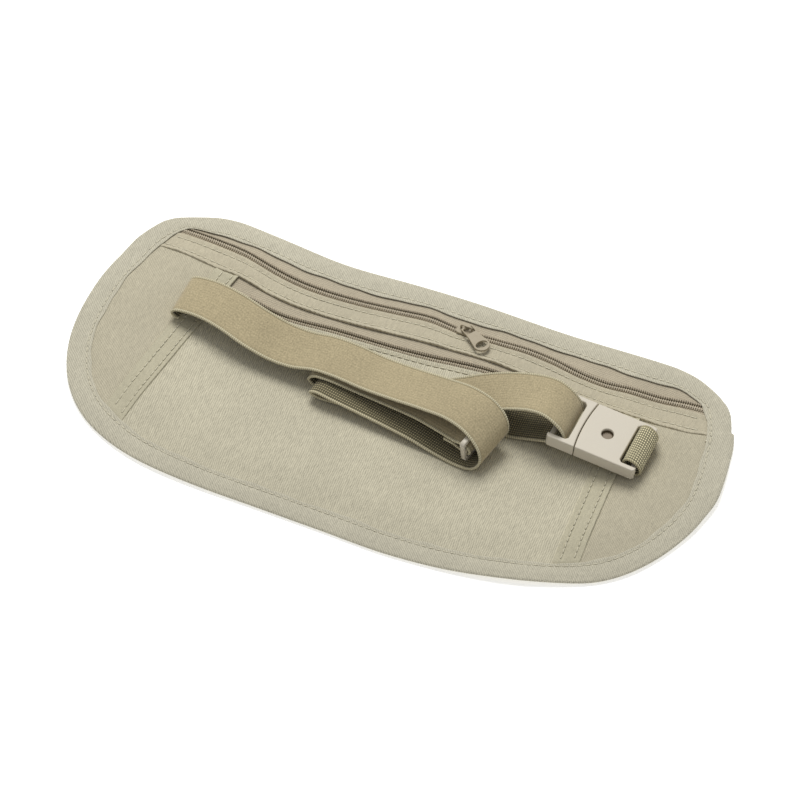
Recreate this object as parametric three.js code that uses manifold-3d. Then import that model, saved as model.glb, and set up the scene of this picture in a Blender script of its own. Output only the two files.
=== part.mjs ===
// Money belt: a flat two-pocket fabric pouch with two coil zips, a bound edge, a folded elastic
// waist strap with its adjuster, and a centre-release buckle.
// Units are millimetres. The pouch lies on its back: +X runs along its length to the buckle end,
// +Y points to the zipped top edge, +Z points up out of the front face. z = 0 is the resting plane.

import * as THREE from 'three';
import * as BufferGeometryUtils from 'three/addons/utils/BufferGeometryUtils.js';
import Module from 'manifold-3d';

const wasm = await Module();
wasm.setup();

// ---- driving dimensions -------------------------------------------------------------------

// Pouch outline, symmetric about X = 0.
const HALF_LENGTH = 139.7;
const TOP_Y = 68.85;
const BOTTOM_Y = -68.85;
const TOP_STRAIGHT = 94;
const SIDE_Y = 6.5;
const BOTTOM_STRAIGHT = 38;
const TOP_HANDLE = [46, 12];
const BOTTOM_HANDLE = [76, 17];

// Thickness of the fabrics and the height at which each layer starts.
const CLOTH = 0.45;
const BINDING_WIDTH = 10.5;
const BINDING_INSET = 1.0;
const BINDING_TOP = 3.75;
const BACK_Z = 0.55;
const BACK_THICK = 0.4;
const DIVIDER_Z = 1.05;
const DIVIDER_THICK = 0.3;
const ZIP_TAPE_Z = 2.15;
const ZIP_TAPE_THICK = 0.4;
const FACE_Z = 2.7;
const SEAM_TAPE_Z = 3.3;

// Front face: the seam under the upper strip, and the two slanted seam tapes.
const SEAM_Y = 39.5;
const SEAM_GAP = 0.3;
const TAPE_WIDTH = 10.4;
const TAPE_TOP_X = 90.7;
const TAPE_LEAN = 0.118;

// Zips: number 3 coil, 4 mm across the closed chain.
const CHAIN_HALF = 1.95;
const CHAIN_GAP = 0.35;
const COIL_HEIGHT = 1.2;
// Each chain lies at height y where it crosses X = 0 and climbs by lean for each millimetre of X.
// tapeTop is the height of the level upper edge of its tape, tapeDown the depth of tape below it.
const UPPER_ZIP = {
  y: 52, lean: 0, half: 110.5, tapeTop: 60, tapeDown: 7.3, tapeHalf: 125, sliderX: 11.5, pullYaw: -32,
};
const LOWER_ZIP = {
  y: 33, lean: 0.05, half: 85.2, tapeTop: 43.8, tapeDown: 8, tapeHalf: 90, sliderX: 65, pullYaw: 180,
};
const SLIDER_LENGTH = 8;
const SLIDER_WIDTH = 6;
const SLIDER_LIP = 0.7;
const PLATE_LOW = 1.5;
const PLATE_HIGH = 3.5;
const PLATE_THICK = 0.7;
const UNDER_PLATE = { end: 0.6, halfWidth: 2.3, thick: 0.5 };
const POST = { half: 1.6, halfWidth: 0.2 };
const PIVOT_Z = 4.95;
const BAIL = { reach: 2.7, wall: 0.65, rise: 1.4, round: 0.9, width: 1 };
const PULL_LENGTH = 14.6;
const PULL = { neck: 2.5, neckEnd: 4.6, tip: 3.4, thick: 0.9, back: 0.4 };
const PULL_WINDOW = { end: 3.6, halfWidth: 2 };
const PULL_EYE = [1.7, 2.6];

// Straps: 20 mm elastic and 19 mm webbing, 1 mm thick.
const STRAP_WIDTH = 20;
const STRAP_THICK = 1.0;
const LOOP_WIDTH = 19;

// Buckle: its own frame starts at the top of the joint between the halves, u along the strap.
const BUCKLE_AT = [81.8, 16.8, 14.3];
const BUCKLE_YAW = 1.5;
const BUCKLE_PITCH = 8;
const BUCKLE_WIDTH = 25.5;
const BUCKLE_THICK = 5.8;
const ARM_WIDTH = 2.3;
const FEMALE_BODY = 18.9;
const FEMALE_LENGTH = 26.4;
const MALE_LENGTH = 12.6;
const MALE_SHOULDER = 4.0;
const BAR = { end: 0.4, length: 2.7, half: 1.4 };
const HOLE_U = 9.3;
const HOLE_RADIUS = 2.5;
const WALL = 1.4;
const JOINT_GAP = 0.3;
const SOCKET = { depth: 15.6, side: 2.4 };
const RAIL = { inner: 6.6, outer: 10, length: 14.2 };
const TONGUE = { from: 0.2, to: 12, half: 5.6, low: -2.8, high: -1.85 };
const BUTTON = { radius: 2.05, low: -2.3, high: -1.5 };

// Adjuster: a two-slot slide standing in the right fold of the strap.
const ADJUSTER_AT = [43.2, -3.5, 11.9];
const ADJUSTER_HEADING = -12;
const ADJUSTER_TILT = 6;
const ADJUSTER_SIZE = { across: 23, along: 11.2, thick: 2.2, rail: 1.4, bar: 1.9 };

const DEG = Math.PI / 180;

// ---- materials ----------------------------------------------------------------------------

function finish(color, roughness) {
  return new THREE.MeshStandardMaterial({ color, roughness, metalness: 0 });
}

const canvas = () => finish(0xc3bda6, 0.95);
const wingCanvas = () => finish(0xb8b198, 0.95);
const lining = () => finish(0x9d957c, 0.95);
const bindingCloth = () => finish(0xcac6b0, 0.95);
const zipCloth = () => finish(0xb0a48f, 0.9);
const coilNylon = () => finish(0x9f9280, 0.6);
const zipEnamel = () => finish(0xb9ad98, 0.45);
const elastic = () => finish(0xb8ad8a, 0.9);
const webbing = () => finish(0xa39a72, 0.9);
const acetal = () => finish(0xd2cbbc, 0.45);

// ---- solid helpers ------------------------------------------------------------------------

function toSolid(geometry) {
  const bare = geometry.clone();
  bare.deleteAttribute('normal');
  bare.deleteAttribute('uv');
  const merged = BufferGeometryUtils.mergeVertices(bare, 1e-4);
  return new wasm.Manifold(new wasm.Mesh({
    numProp: 3,
    vertProperties: new Float32Array(merged.attributes.position.array),
    triVerts: new Uint32Array(merged.index.array),
  }));
}

function toGeometry(solid) {
  const mesh = solid.getMesh();
  const geometry = new THREE.BufferGeometry();
  geometry.setAttribute('position', new THREE.BufferAttribute(new Float32Array(mesh.vertProperties), 3));
  geometry.setIndex(new THREE.BufferAttribute(new Uint32Array(mesh.triVerts), 1));
  geometry.computeVertexNormals();
  return geometry;
}

function plate(shape, low, high) {
  const options = { depth: high - low, bevelEnabled: false, curveSegments: 12 };
  const geometry = new THREE.ExtrudeGeometry(shape, options);
  geometry.translate(0, 0, low);
  return geometry;
}

// A box from its lowest to its highest corner.
function block(low, high) {
  const geometry = new THREE.BoxGeometry(high[0] - low[0], high[1] - low[1], high[2] - low[2]);
  geometry.translate((low[0] + high[0]) / 2, (low[1] + high[1]) / 2, (low[2] + high[2]) / 2);
  return geometry;
}

function polygon(points) {
  return new THREE.Shape(points.map(([x, y]) => new THREE.Vector2(x, y)));
}

function join(...geometries) {
  const [first, ...rest] = geometries.map(toSolid);
  return rest.reduce((whole, next) => whole.add(next), first);
}

function cut(solid, ...geometries) {
  return geometries.map(toSolid).reduce((whole, next) => whole.subtract(next), solid);
}

function named(name, geometry, material) {
  const mesh = new THREE.Mesh(geometry, material);
  mesh.name = name;
  return mesh;
}

// ---- pouch outline ------------------------------------------------------------------------

function outlinePoints() {
  const shape = new THREE.Shape();
  shape.moveTo(0, TOP_Y);
  shape.lineTo(TOP_STRAIGHT, TOP_Y);
  shape.bezierCurveTo(
    TOP_STRAIGHT + TOP_HANDLE[0], TOP_Y, HALF_LENGTH, SIDE_Y + TOP_HANDLE[1], HALF_LENGTH, SIDE_Y);
  shape.bezierCurveTo(
    HALF_LENGTH, SIDE_Y - BOTTOM_HANDLE[0], BOTTOM_STRAIGHT + BOTTOM_HANDLE[1], BOTTOM_Y,
    BOTTOM_STRAIGHT, BOTTOM_Y);
  shape.lineTo(0, BOTTOM_Y);
  const right = shape.getPoints(20);
  const left = right.slice(1, -1).reverse().map((p) => new THREE.Vector2(-p.x, p.y));
  return [...right, ...left];
}

const OUTLINE = outlinePoints();

// The outline moved inwards by the given distance.
function insetShape(distance) {
  const count = OUTLINE.length;
  return new THREE.Shape(OUTLINE.map((point, i) => {
    const before = OUTLINE[(i + count - 1) % count];
    const after = OUTLINE[(i + 1) % count];
    const along = after.clone().sub(before).normalize();
    return new THREE.Vector2(point.x + along.y * distance, point.y - along.x * distance);
  }));
}

const insidePouch = () => toSolid(plate(insetShape(BINDING_INSET), -1, BINDING_TOP + 1));
const insideBinding = () => toSolid(plate(insetShape(BINDING_WIDTH + SEAM_GAP), -1, BINDING_TOP + 1));

// A flat panel cut from cloth to a polygon, trimmed to the pouch.
function panel(points, low, thick, inside = insidePouch) {
  return toGeometry(toSolid(plate(polygon(points), low, low + thick)).intersect(inside()));
}

function edgeBinding() {
  const whole = toSolid(plate(new THREE.Shape(OUTLINE), 0, BINDING_TOP));
  const fold = plate(insetShape(CLOTH), CLOTH, SEAM_TAPE_Z);
  const opening = plate(insetShape(BINDING_WIDTH), -1, BINDING_TOP + 1);
  return toGeometry(cut(whole, fold, opening));
}

// ---- front face ---------------------------------------------------------------------------

// X of the middle of the right-hand seam tape at height y. The left one mirrors it.
const tapeX = (y) => TAPE_TOP_X + (SEAM_Y - y) * TAPE_LEAN;
const mirrored = (points) => points.map(([x, y]) => [-x, y]).reverse();

const WING_TOP = SEAM_Y - SEAM_GAP;
const LOW_CUT = BOTTOM_Y - 5;
const WIDE_CUT = HALF_LENGTH + 5;

const rightWing = [
  [tapeX(WING_TOP) + SEAM_GAP / 2, WING_TOP],
  [tapeX(LOW_CUT) + SEAM_GAP / 2, LOW_CUT],
  [WIDE_CUT, LOW_CUT],
  [WIDE_CUT, WING_TOP],
];

// Height of a zip's chain at x.
const chainY = (zip, x) => zip.y + zip.lean * x;

// The front's top edge follows the lower chain.
const frontTop = (x) => chainY(LOWER_ZIP, x) - CHAIN_HALF - SEAM_GAP;
const frontPanel = [
  [-tapeX(frontTop(-TAPE_TOP_X)) + SEAM_GAP / 2, frontTop(-TAPE_TOP_X)],
  [-tapeX(LOW_CUT) + SEAM_GAP / 2, LOW_CUT],
  [tapeX(LOW_CUT) - SEAM_GAP / 2, LOW_CUT],
  [tapeX(frontTop(TAPE_TOP_X)) - SEAM_GAP / 2, frontTop(TAPE_TOP_X)],
];

const STRIP_TOP = UPPER_ZIP.y - CHAIN_HALF - 1.2;
const midStrip = [[-WIDE_CUT, SEAM_Y], [WIDE_CUT, SEAM_Y], [WIDE_CUT, STRIP_TOP], [-WIDE_CUT, STRIP_TOP]];

const rightTape = [
  [tapeX(WING_TOP) - TAPE_WIDTH / 2, WING_TOP],
  [tapeX(LOW_CUT) - TAPE_WIDTH / 2, LOW_CUT],
  [tapeX(LOW_CUT) + TAPE_WIDTH / 2, LOW_CUT],
  [tapeX(WING_TOP) + TAPE_WIDTH / 2, WING_TOP],
];

function pouchPanels() {
  const backSheet = plate(insetShape(BINDING_INSET), BACK_Z, BACK_Z + BACK_THICK);
  const dividerSheet = plate(insetShape(BINDING_INSET), DIVIDER_Z, DIVIDER_Z + DIVIDER_THICK);
  return [
    named('back_panel', backSheet, canvas()),
    named('divider_panel', dividerSheet, lining()),
    named('mid_strip', panel(midStrip, FACE_Z, CLOTH), canvas()),
    named('front_panel', panel(frontPanel, FACE_Z, CLOTH), canvas()),
    named('right_wing_panel', panel(rightWing, FACE_Z, CLOTH), wingCanvas()),
    named('left_wing_panel', panel(mirrored(rightWing), FACE_Z, CLOTH), wingCanvas()),
    named('right_seam_tape', panel(rightTape, SEAM_TAPE_Z, CLOTH, insideBinding), canvas()),
    named('left_seam_tape', panel(mirrored(rightTape), SEAM_TAPE_Z, CLOTH, insideBinding), canvas()),
    named('edge_binding', edgeBinding(), bindingCloth()),
  ];
}

// ---- zips ---------------------------------------------------------------------------------

// A strip along the chain, from one distance above it to another, as long as half each way.
function alongChain(zip, half, from, to) {
  const rise = zip.lean * half;
  const y = zip.y;
  return [[-half, y + from - rise], [half, y + from + rise], [half, y + to + rise], [-half, y + to - rise]];
}

function zipTapeAbove(zip, from) {
  const half = zip.tapeHalf;
  const outline = [
    [-half, chainY(zip, -half) + from], [half, chainY(zip, half) + from], [half, zip.tapeTop], [-half, zip.tapeTop],
  ];
  return panel(outline, ZIP_TAPE_Z, ZIP_TAPE_THICK);
}

function zipTapeBelow(zip, from) {
  return panel(alongChain(zip, zip.tapeHalf, -zip.tapeDown, -from), ZIP_TAPE_Z, ZIP_TAPE_THICK);
}

function zipCoil(zip, from, to) {
  return plate(polygon(alongChain(zip, zip.half, from, to)), ZIP_TAPE_Z, ZIP_TAPE_Z + COIL_HEIGHT);
}

// The slider in its own frame: X along the chain, its middle over the origin.
function sliderGeometry() {
  const halfLength = SLIDER_LENGTH / 2;
  const halfWidth = SLIDER_WIDTH / 2;
  const top = PLATE_HIGH + PLATE_THICK;
  const plan = polygon([
    [-halfLength, -halfWidth + SLIDER_LIP], [-halfLength + 1.2, -halfWidth], [halfLength - 2.4, -halfWidth],
    [halfLength, -halfWidth + 1.1], [halfLength, halfWidth - 1.1], [halfLength - 2.4, halfWidth],
    [-halfLength + 1.2, halfWidth], [-halfLength, halfWidth - SLIDER_LIP],
  ]);
  const inner = [halfLength + 1, halfWidth - SLIDER_LIP];
  const body = cut(
    toSolid(plate(plan, PLATE_HIGH - 0.25, top)),
    block([-inner[0], -inner[1], 0], [inner[0], inner[1], PLATE_HIGH]));
  const post = block(
    [-POST.half, -POST.halfWidth, PLATE_LOW + 0.2], [POST.half, POST.halfWidth, PLATE_HIGH + 0.2]);
  const underHalf = halfLength - UNDER_PLATE.end;
  const underPlate = block(
    [-underHalf, -UNDER_PLATE.halfWidth, PLATE_LOW],
    [underHalf, UNDER_PLATE.halfWidth, PLATE_LOW + UNDER_PLATE.thick]);
  return toGeometry(body.add(toSolid(post)).add(toSolid(underPlate)).add(toSolid(bail(top))));
}

// The arched bridge on the slider that holds the pull. Its feet sink a little into the plate.
function bail(base) {
  const { reach, wall, round, width } = BAIL;
  const rise = PIVOT_Z + BAIL.rise;
  const foot = base - 0.3;
  const shape = new THREE.Shape();
  shape.moveTo(-reach, foot);
  shape.lineTo(-reach, rise - 0.7);
  shape.quadraticCurveTo(-reach, rise, -reach + round, rise);
  shape.lineTo(reach - round, rise);
  shape.quadraticCurveTo(reach, rise, reach, rise - 0.7);
  shape.lineTo(reach, foot);
  shape.lineTo(reach - wall, foot);
  shape.lineTo(reach - wall, rise - wall);
  shape.lineTo(-reach + wall, rise - wall);
  shape.lineTo(-reach + wall, foot);
  const geometry = new THREE.ExtrudeGeometry(shape, { depth: width, bevelEnabled: false, curveSegments: 4 });
  geometry.rotateX(Math.PI / 2);
  geometry.translate(0, width / 2, 0);
  return geometry;
}

// The pull in its own frame: it hangs on a cross pin at the origin and points along +X.
function pullGeometry() {
  const { neck, neckEnd, tip, thick, back } = PULL;
  const shape = new THREE.Shape();
  shape.moveTo(-back, -neck);
  shape.lineTo(neckEnd, -neck);
  shape.lineTo(PULL_LENGTH - tip, -tip);
  shape.absarc(PULL_LENGTH - tip, 0, tip, -Math.PI / 2, Math.PI / 2, false);
  shape.lineTo(neckEnd, neck);
  shape.lineTo(-back, neck);
  shape.closePath();
  const { end, halfWidth } = PULL_WINDOW;
  const window = polygon([[back, -halfWidth], [end, -halfWidth], [end, halfWidth], [back, halfWidth]]);
  const eye = new THREE.Path();
  eye.absellipse(PULL_LENGTH - tip, 0, PULL_EYE[0], PULL_EYE[1], 0, Math.PI * 2, true);
  shape.holes.push(new THREE.Path(window.getPoints()), eye);
  return plate(shape, -thick / 2, thick / 2);
}

function zipParts(prefix, zip) {
  const tapeClear = CHAIN_HALF + 0.1;
  const sliderY = chainY(zip, zip.sliderX);
  const turn = Math.atan(zip.lean);
  const slider = named(`${prefix}_zip_slider`, sliderGeometry(), zipEnamel());
  slider.position.set(zip.sliderX, sliderY, 0);
  slider.rotation.z = turn;
  const pull = named(`${prefix}_zip_pull`, pullGeometry(), zipEnamel());
  pull.position.set(zip.sliderX, sliderY, PIVOT_Z);
  pull.rotation.z = zip.pullYaw * DEG + turn;
  return [
    named(`${prefix}_zip_tape_top`, zipTapeAbove(zip, tapeClear), zipCloth()),
    named(`${prefix}_zip_tape_bottom`, zipTapeBelow(zip, tapeClear), zipCloth()),
    named(`${prefix}_coil_top`, zipCoil(zip, CHAIN_GAP, CHAIN_HALF), coilNylon()),
    named(`${prefix}_coil_bottom`, zipCoil(zip, -CHAIN_HALF, -CHAIN_GAP), coilNylon()),
    slider,
    pull,
  ];
}

// ---- straps -------------------------------------------------------------------------------

// Points of the elastic from its sewn end in the left tape to the buckle: x, y, z of the middle of
// the strap, its heading in degrees, and how many degrees its far edge is lifted.
const MAIN_ROUTE = [
  [-97.6, 18.6, 4.5, 0, 0], [-99.6, 18.6, 5.2, 0, 1], [-100.6, 18.5, 7.0, 0, 1], [-99.4, 18.4, 9.0, 0, 2],
  [-96, 18.2, 10.4, 0, 3], [-87, 17, 12.2, -3, 5], [-76, 14.2, 13.2, -6, 7], [-64, 10.8, 12.6, -7, 9],
  [-52, 8.9, 11.5, -5, 9], [-42, 8.6, 11.5, -4, 7], [-32, 9.4, 12.8, -4, 3], [-22, 8.9, 13.4, -5, 2],
  [-8, 7, 14, -8, 1], [6, 5.2, 16, -9, 1], [20, 3.4, 18.6, -10, 2], [33, 1.4, 20.6, -12, 5],
  [43, -1.6, 20, -14, 9], [49.5, -4.6, 16, -14, 12], [51, -6.5, 11, -14, 12], [48, -7.6, 6.6, -13, 7],
  [41.5, -7.4, 4.6, -11, 2], [30, -5.6, 4.8, -9, 2], [18, -3.8, 6.2, -8, 0], [6, -2.2, 7, -8, 0],
  [-8, -0.6, 7.8, -8, 0], [-20, 0.6, 8.6, -7, 0], [-27.2, 1.5, 8.8, -6, 0], [-30, 2, 7.2, -5, 0],
  [-27.4, 2.2, 5.5, -2, 0], [-20, 2.6, 5.1, 2, 0], [-8, 4.4, 5.1, 9, 0], [4, 7.6, 5.2, 15, 0],
  [15, 11.2, 5.4, 18, 2], [25, 14.6, 7.4, 17, 7], [34, 17, 11.2, 13, 8], [42, 18.4, 14.6, 9, 7],
  [51, 19, 18.2, 4, 5], [60, 18.9, 21, 0, 3], [66.5, 18, 21.8, 0, 1], [71.6, 17, 20, 1, 0],
  [74.8, 16.7, 16.6, 1.5, 0], [75.9, 16.6, 13.1, 1.5, 0],
];

// The same elastic from the male buckle bar back to the adjuster, where its end is sewn.
const RETURN_ROUTE = [
  [76.2, 16.7, 12, 1.5, 0], [75.3, 16.7, 10.1, 1.5, 0], [72.6, 16.6, 9, 1.5, 0], [67, 16.6, 7.6, 2, 0],
  [60, 16.6, 5.6, 4, 0], [52, 15.8, 4.2, 7, 0], [42, 14.9, 3.85, 9, 0], [28, 12.2, 3.85, 9, 0],
  [12, 9.2, 3.85, 5, 0], [-8, 8, 3.85, 0, 0], [-24, 7.8, 4, -3, 0], [-31.5, 8, 5.2, -4, 0],
  [-33.4, 8.1, 7.4, -5, 0], [-31.2, 8.1, 9.9, -5, 0], [-25, 8, 10.7, -5, 0], [-12, 7, 10.6, -6, 0],
  [4, 5.2, 11, -9, 0], [18, 3, 11.9, -10, 1], [30, 0, 12.7, -12, 4], [37.5, -2.2, 13.3, -12, 6],
];

// A flat strap swept along its route. Each section is a rectangle, turned by heading and tilt.
function ribbon(route, width, thick, stepsPerSpan = 3) {
  const path = new THREE.CatmullRomCurve3(route.map(([x, y, z]) => new THREE.Vector3(x, y, z)));
  const turn = new THREE.CatmullRomCurve3(route.map((p) => new THREE.Vector3(p[3] * DEG, p[4] * DEG, 0)),
    false, 'catmullrom', 0.5);
  const steps = (route.length - 1) * stepsPerSpan;
  const positions = [];
  for (let i = 0; i <= steps; i++) {
    const t = i / steps;
    const centre = path.getPoint(t);
    const along = path.getTangent(t);
    const { x: heading, y: tilt } = turn.getPoint(t);
    const across = new THREE.Vector3(
      -Math.sin(heading) * Math.cos(tilt), Math.cos(heading) * Math.cos(tilt), Math.sin(tilt));
    const up = along.clone().cross(across).normalize().multiplyScalar(thick / 2);
    across.multiplyScalar(width / 2);
    for (const [a, b] of [[-1, -1], [1, -1], [1, 1], [-1, 1]]) {
      const corner = centre.clone().addScaledVector(across, a).addScaledVector(up, b);
      positions.push(corner.x, corner.y, corner.z);
    }
  }
  const index = [];
  for (let i = 0; i < steps; i++) {
    for (let j = 0; j < 4; j++) {
      const a = i * 4 + j;
      const b = i * 4 + (j + 1) % 4;
      index.push(a, b, a + 4, b, b + 4, a + 4);
    }
  }
  const last = steps * 4;
  index.push(0, 2, 1, 0, 3, 2, last, last + 1, last + 2, last, last + 2, last + 3);
  const geometry = new THREE.BufferGeometry();
  geometry.setAttribute('position', new THREE.Float32BufferAttribute(positions, 3));
  geometry.setIndex(index);
  geometry.computeVertexNormals();
  return geometry;
}

// The adjuster's own axes: out of the fold, across the strap, and up.
function adjusterAxes() {
  const heading = ADJUSTER_HEADING * DEG;
  const tilt = ADJUSTER_TILT * DEG;
  const out = new THREE.Vector3(Math.cos(heading), Math.sin(heading), 0);
  const across = new THREE.Vector3(
    -Math.sin(heading) * Math.cos(tilt), Math.cos(heading) * Math.cos(tilt), Math.sin(tilt));
  return { out, across, up: out.clone().cross(across) };
}

// The sewn end of the strap turns round the adjuster's centre bar and lies back under itself.
// Each pair is the distance out of the fold and up from the bar's middle.
function adjusterWrap() {
  const { out, up } = adjusterAxes();
  const round = 2.2;
  const corner = round * Math.SQRT1_2;
  const turns = [
    [-2.8, 2.3], [0, round], [corner, corner], [round, 0], [corner, -corner], [0, -round],
    [-2.8, -1.6], [-6, -0.5], [-11, -0.5],
  ];
  return turns.map(([a, b]) => {
    const p = new THREE.Vector3(...ADJUSTER_AT).addScaledVector(out, a).addScaledVector(up, b);
    return [p.x, p.y, p.z, ADJUSTER_HEADING, ADJUSTER_TILT];
  });
}

// Points of the short webbing round the female buckle bar, both ends sewn into the right tape.
function loopRoute() {
  const seamHeading = Math.atan(TAPE_LEAN) / DEG;
  const sections = [
    [98.9, 3.8, seamHeading], [103, 3.8, 4], [107.2, 4.8], [109.2, 7.2], [108.6, 10], [106.4, 12],
    [103.8, 12.4], [102.2, 11], [101.6, 8.6], [101.3, 6.6], [100.8, 5.4, 4], [98.9, 4.95, seamHeading],
  ];
  return sections.map(([x, z, heading = BUCKLE_YAW]) => [x, BUCKLE_AT[1] + 0.6, z, heading, 0]);
}

function straps() {
  const returnRoute = [...RETURN_ROUTE, ...adjusterWrap()];
  return [
    named('waist_strap', ribbon(MAIN_ROUTE, STRAP_WIDTH, STRAP_THICK), elastic()),
    named('strap_return', ribbon(returnRoute, STRAP_WIDTH - 0.6, STRAP_THICK), elastic()),
    named('webbing_loop', ribbon(loopRoute(), LOOP_WIDTH, STRAP_THICK), webbing()),
  ];
}

function strapAdjuster() {
  const { across, along, thick, rail, bar } = ADJUSTER_SIZE;
  const slot = (along - 3 * bar) / 2;
  const half = across / 2 - rail;
  const frame = toSolid(block([-thick / 2, -across / 2, -along / 2], [thick / 2, across / 2, along / 2]));
  const upperSlot = block([-thick, -half, bar / 2], [thick, half, bar / 2 + slot]);
  const lowerSlot = block([-thick, -half, -bar / 2 - slot], [thick, half, -bar / 2]);
  const mesh = named('strap_adjuster', toGeometry(cut(frame, upperSlot, lowerSlot)), acetal());
  const axes = adjusterAxes();
  mesh.quaternion.setFromRotationMatrix(new THREE.Matrix4().makeBasis(axes.out, axes.across, axes.up));
  mesh.position.set(...ADJUSTER_AT);
  return mesh;
}

// ---- buckle -------------------------------------------------------------------------------

const HALF_BUCKLE = BUCKLE_WIDTH / 2;
const INNER_ARM = HALF_BUCKLE - ARM_WIDTH;

// A cross bar between the arms, from one u to another.
function crossBar(from, to) {
  const middle = -BUCKLE_THICK / 2;
  const reach = INNER_ARM + 0.5;
  return block([from, -reach, middle - BAR.half], [to, reach, middle + BAR.half]);
}

// An arm along one side, from one u to another.
function arm(side, from, to) {
  const [low, high] = side > 0 ? [INNER_ARM, HALF_BUCKLE] : [-HALF_BUCKLE, -INNER_ARM];
  return block([from, low, -BUCKLE_THICK], [to, high, 0]);
}

function femaleHalf() {
  const body = block([0, -HALF_BUCKLE, -BUCKLE_THICK], [FEMALE_BODY, HALF_BUCKLE, 0]);
  const arms = [-1, 1].map((side) => arm(side, FEMALE_BODY - 1, FEMALE_LENGTH));
  const bar = crossBar(FEMALE_LENGTH - BAR.length, FEMALE_LENGTH - BAR.end);
  const socketHalf = HALF_BUCKLE - SOCKET.side;
  const socket = block([-1, -socketHalf, -BUCKLE_THICK + WALL], [SOCKET.depth, socketHalf, -WALL]);
  const hole = new THREE.CylinderGeometry(HOLE_RADIUS, HOLE_RADIUS, 2 * WALL, 28);
  hole.rotateX(Math.PI / 2);
  hole.translate(HOLE_U, 0, -WALL / 2);
  return toGeometry(cut(join(body, ...arms, bar), socket, hole));
}

function maleHalf() {
  const shoulder = block([-MALE_SHOULDER, -HALF_BUCKLE, -BUCKLE_THICK], [-JOINT_GAP, HALF_BUCKLE, 0]);
  const arms = [-1, 1].map((side) => arm(side, -MALE_LENGTH, -MALE_SHOULDER + 1));
  const bar = crossBar(-MALE_LENGTH + BAR.end, -MALE_LENGTH + BAR.length);
  const [low, high] = [-BUCKLE_THICK + WALL + JOINT_GAP, -WALL - JOINT_GAP];
  const rails = [-1, 1].map((side) => block(
    [-1, side > 0 ? RAIL.inner : -RAIL.outer, low],
    [RAIL.length, side > 0 ? RAIL.outer : -RAIL.inner, high]));
  return toGeometry(join(shoulder, ...arms, bar, ...rails));
}

// The sprung tongue with the low button that shows in the hole.
function releaseTongue() {
  const tongue = block([TONGUE.from, -TONGUE.half, TONGUE.low], [TONGUE.to, TONGUE.half, TONGUE.high]);
  const button = new THREE.CylinderGeometry(BUTTON.radius, BUTTON.radius, BUTTON.high - BUTTON.low, 24);
  button.rotateX(Math.PI / 2);
  button.translate(HOLE_U, 0, (BUTTON.high + BUTTON.low) / 2);
  return toGeometry(join(tongue, button));
}

function buckle() {
  const group = new THREE.Group();
  group.position.set(...BUCKLE_AT);
  group.rotation.set(0, BUCKLE_PITCH * DEG, BUCKLE_YAW * DEG, 'ZYX');
  group.add(
    named('buckle_female', femaleHalf(), acetal()),
    named('buckle_male', maleHalf(), acetal()),
    named('release_tongue', releaseTongue(), acetal()));
  return group;
}

// ---- the whole belt -----------------------------------------------------------------------

const group = new THREE.Group();
group.add(...pouchPanels());
group.add(...zipParts('upper', UPPER_ZIP));
group.add(...zipParts('lower', LOWER_ZIP));
group.add(...straps());
group.add(strapAdjuster());
group.add(buckle());

export default group;
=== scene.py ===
"""Money belt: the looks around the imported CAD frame. Lengths are millimetres until a mesh is made."""

import math

import bmesh
import bpy
import numpy as np
from mathutils import Matrix, Vector


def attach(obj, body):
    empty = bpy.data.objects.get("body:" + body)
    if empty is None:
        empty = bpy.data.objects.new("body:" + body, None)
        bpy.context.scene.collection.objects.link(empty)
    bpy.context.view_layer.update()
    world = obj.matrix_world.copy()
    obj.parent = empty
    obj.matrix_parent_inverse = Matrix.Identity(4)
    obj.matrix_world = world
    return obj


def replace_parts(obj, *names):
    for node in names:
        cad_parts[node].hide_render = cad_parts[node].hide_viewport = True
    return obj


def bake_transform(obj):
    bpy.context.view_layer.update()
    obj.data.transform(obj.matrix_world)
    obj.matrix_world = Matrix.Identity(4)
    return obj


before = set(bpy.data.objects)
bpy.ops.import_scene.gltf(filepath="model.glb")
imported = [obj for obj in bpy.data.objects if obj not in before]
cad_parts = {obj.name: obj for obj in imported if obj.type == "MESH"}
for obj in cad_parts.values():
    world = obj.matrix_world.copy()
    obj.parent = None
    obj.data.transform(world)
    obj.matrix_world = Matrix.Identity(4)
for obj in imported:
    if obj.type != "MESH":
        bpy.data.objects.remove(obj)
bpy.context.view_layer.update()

MM = 0.001

# ---- sizes shared with the CAD ------------------------------------------------------------

HALF_LENGTH, EDGE_Y = 139.7, 68.85
TOP_STRAIGHT, SIDE_Y, BOTTOM_STRAIGHT = 94, 6.5, 38
TOP_HANDLE, BOTTOM_HANDLE = (46, 12), (76, 17)
BINDING_WIDTH = 10.5
UNDER_BINDING = 4.5  # how far inside the edge the front cloth starts
SEAM_Y, TAPE_TOP_X, TAPE_LEAN, TAPE_WIDTH = 39.5, 90.7, 0.118, 10.4
UPPER_Y, LOWER_Y, LOWER_LEAN = 52, 33.0, 0.05
LOWER_TAPE_TOP_Y = 43.8  # where the mid strip ends the lower zip's upper tape
CHAIN_HALF = 1.95
PIVOT_Z = 4.95
UPPER_SLIDER_X, UPPER_YAW = 11.5, -32
LOWER_SLIDER_X, LOWER_YAW = 65, 180
STRAP_WIDTH, STRAP_THICK, LOOP_WIDTH = 20, 1.0, 19
BUCKLE_AT, BUCKLE_YAW, BUCKLE_PITCH = (81.8, 16.8, 14.3), 1.5, 8
BUCKLE_WIDTH, BUCKLE_THICK = 25.5, 5.8
ADJUSTER_AT, ADJUSTER_HEADING, ADJUSTER_TILT = (43.2, -3.5, 11.9), -12, 6

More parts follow.
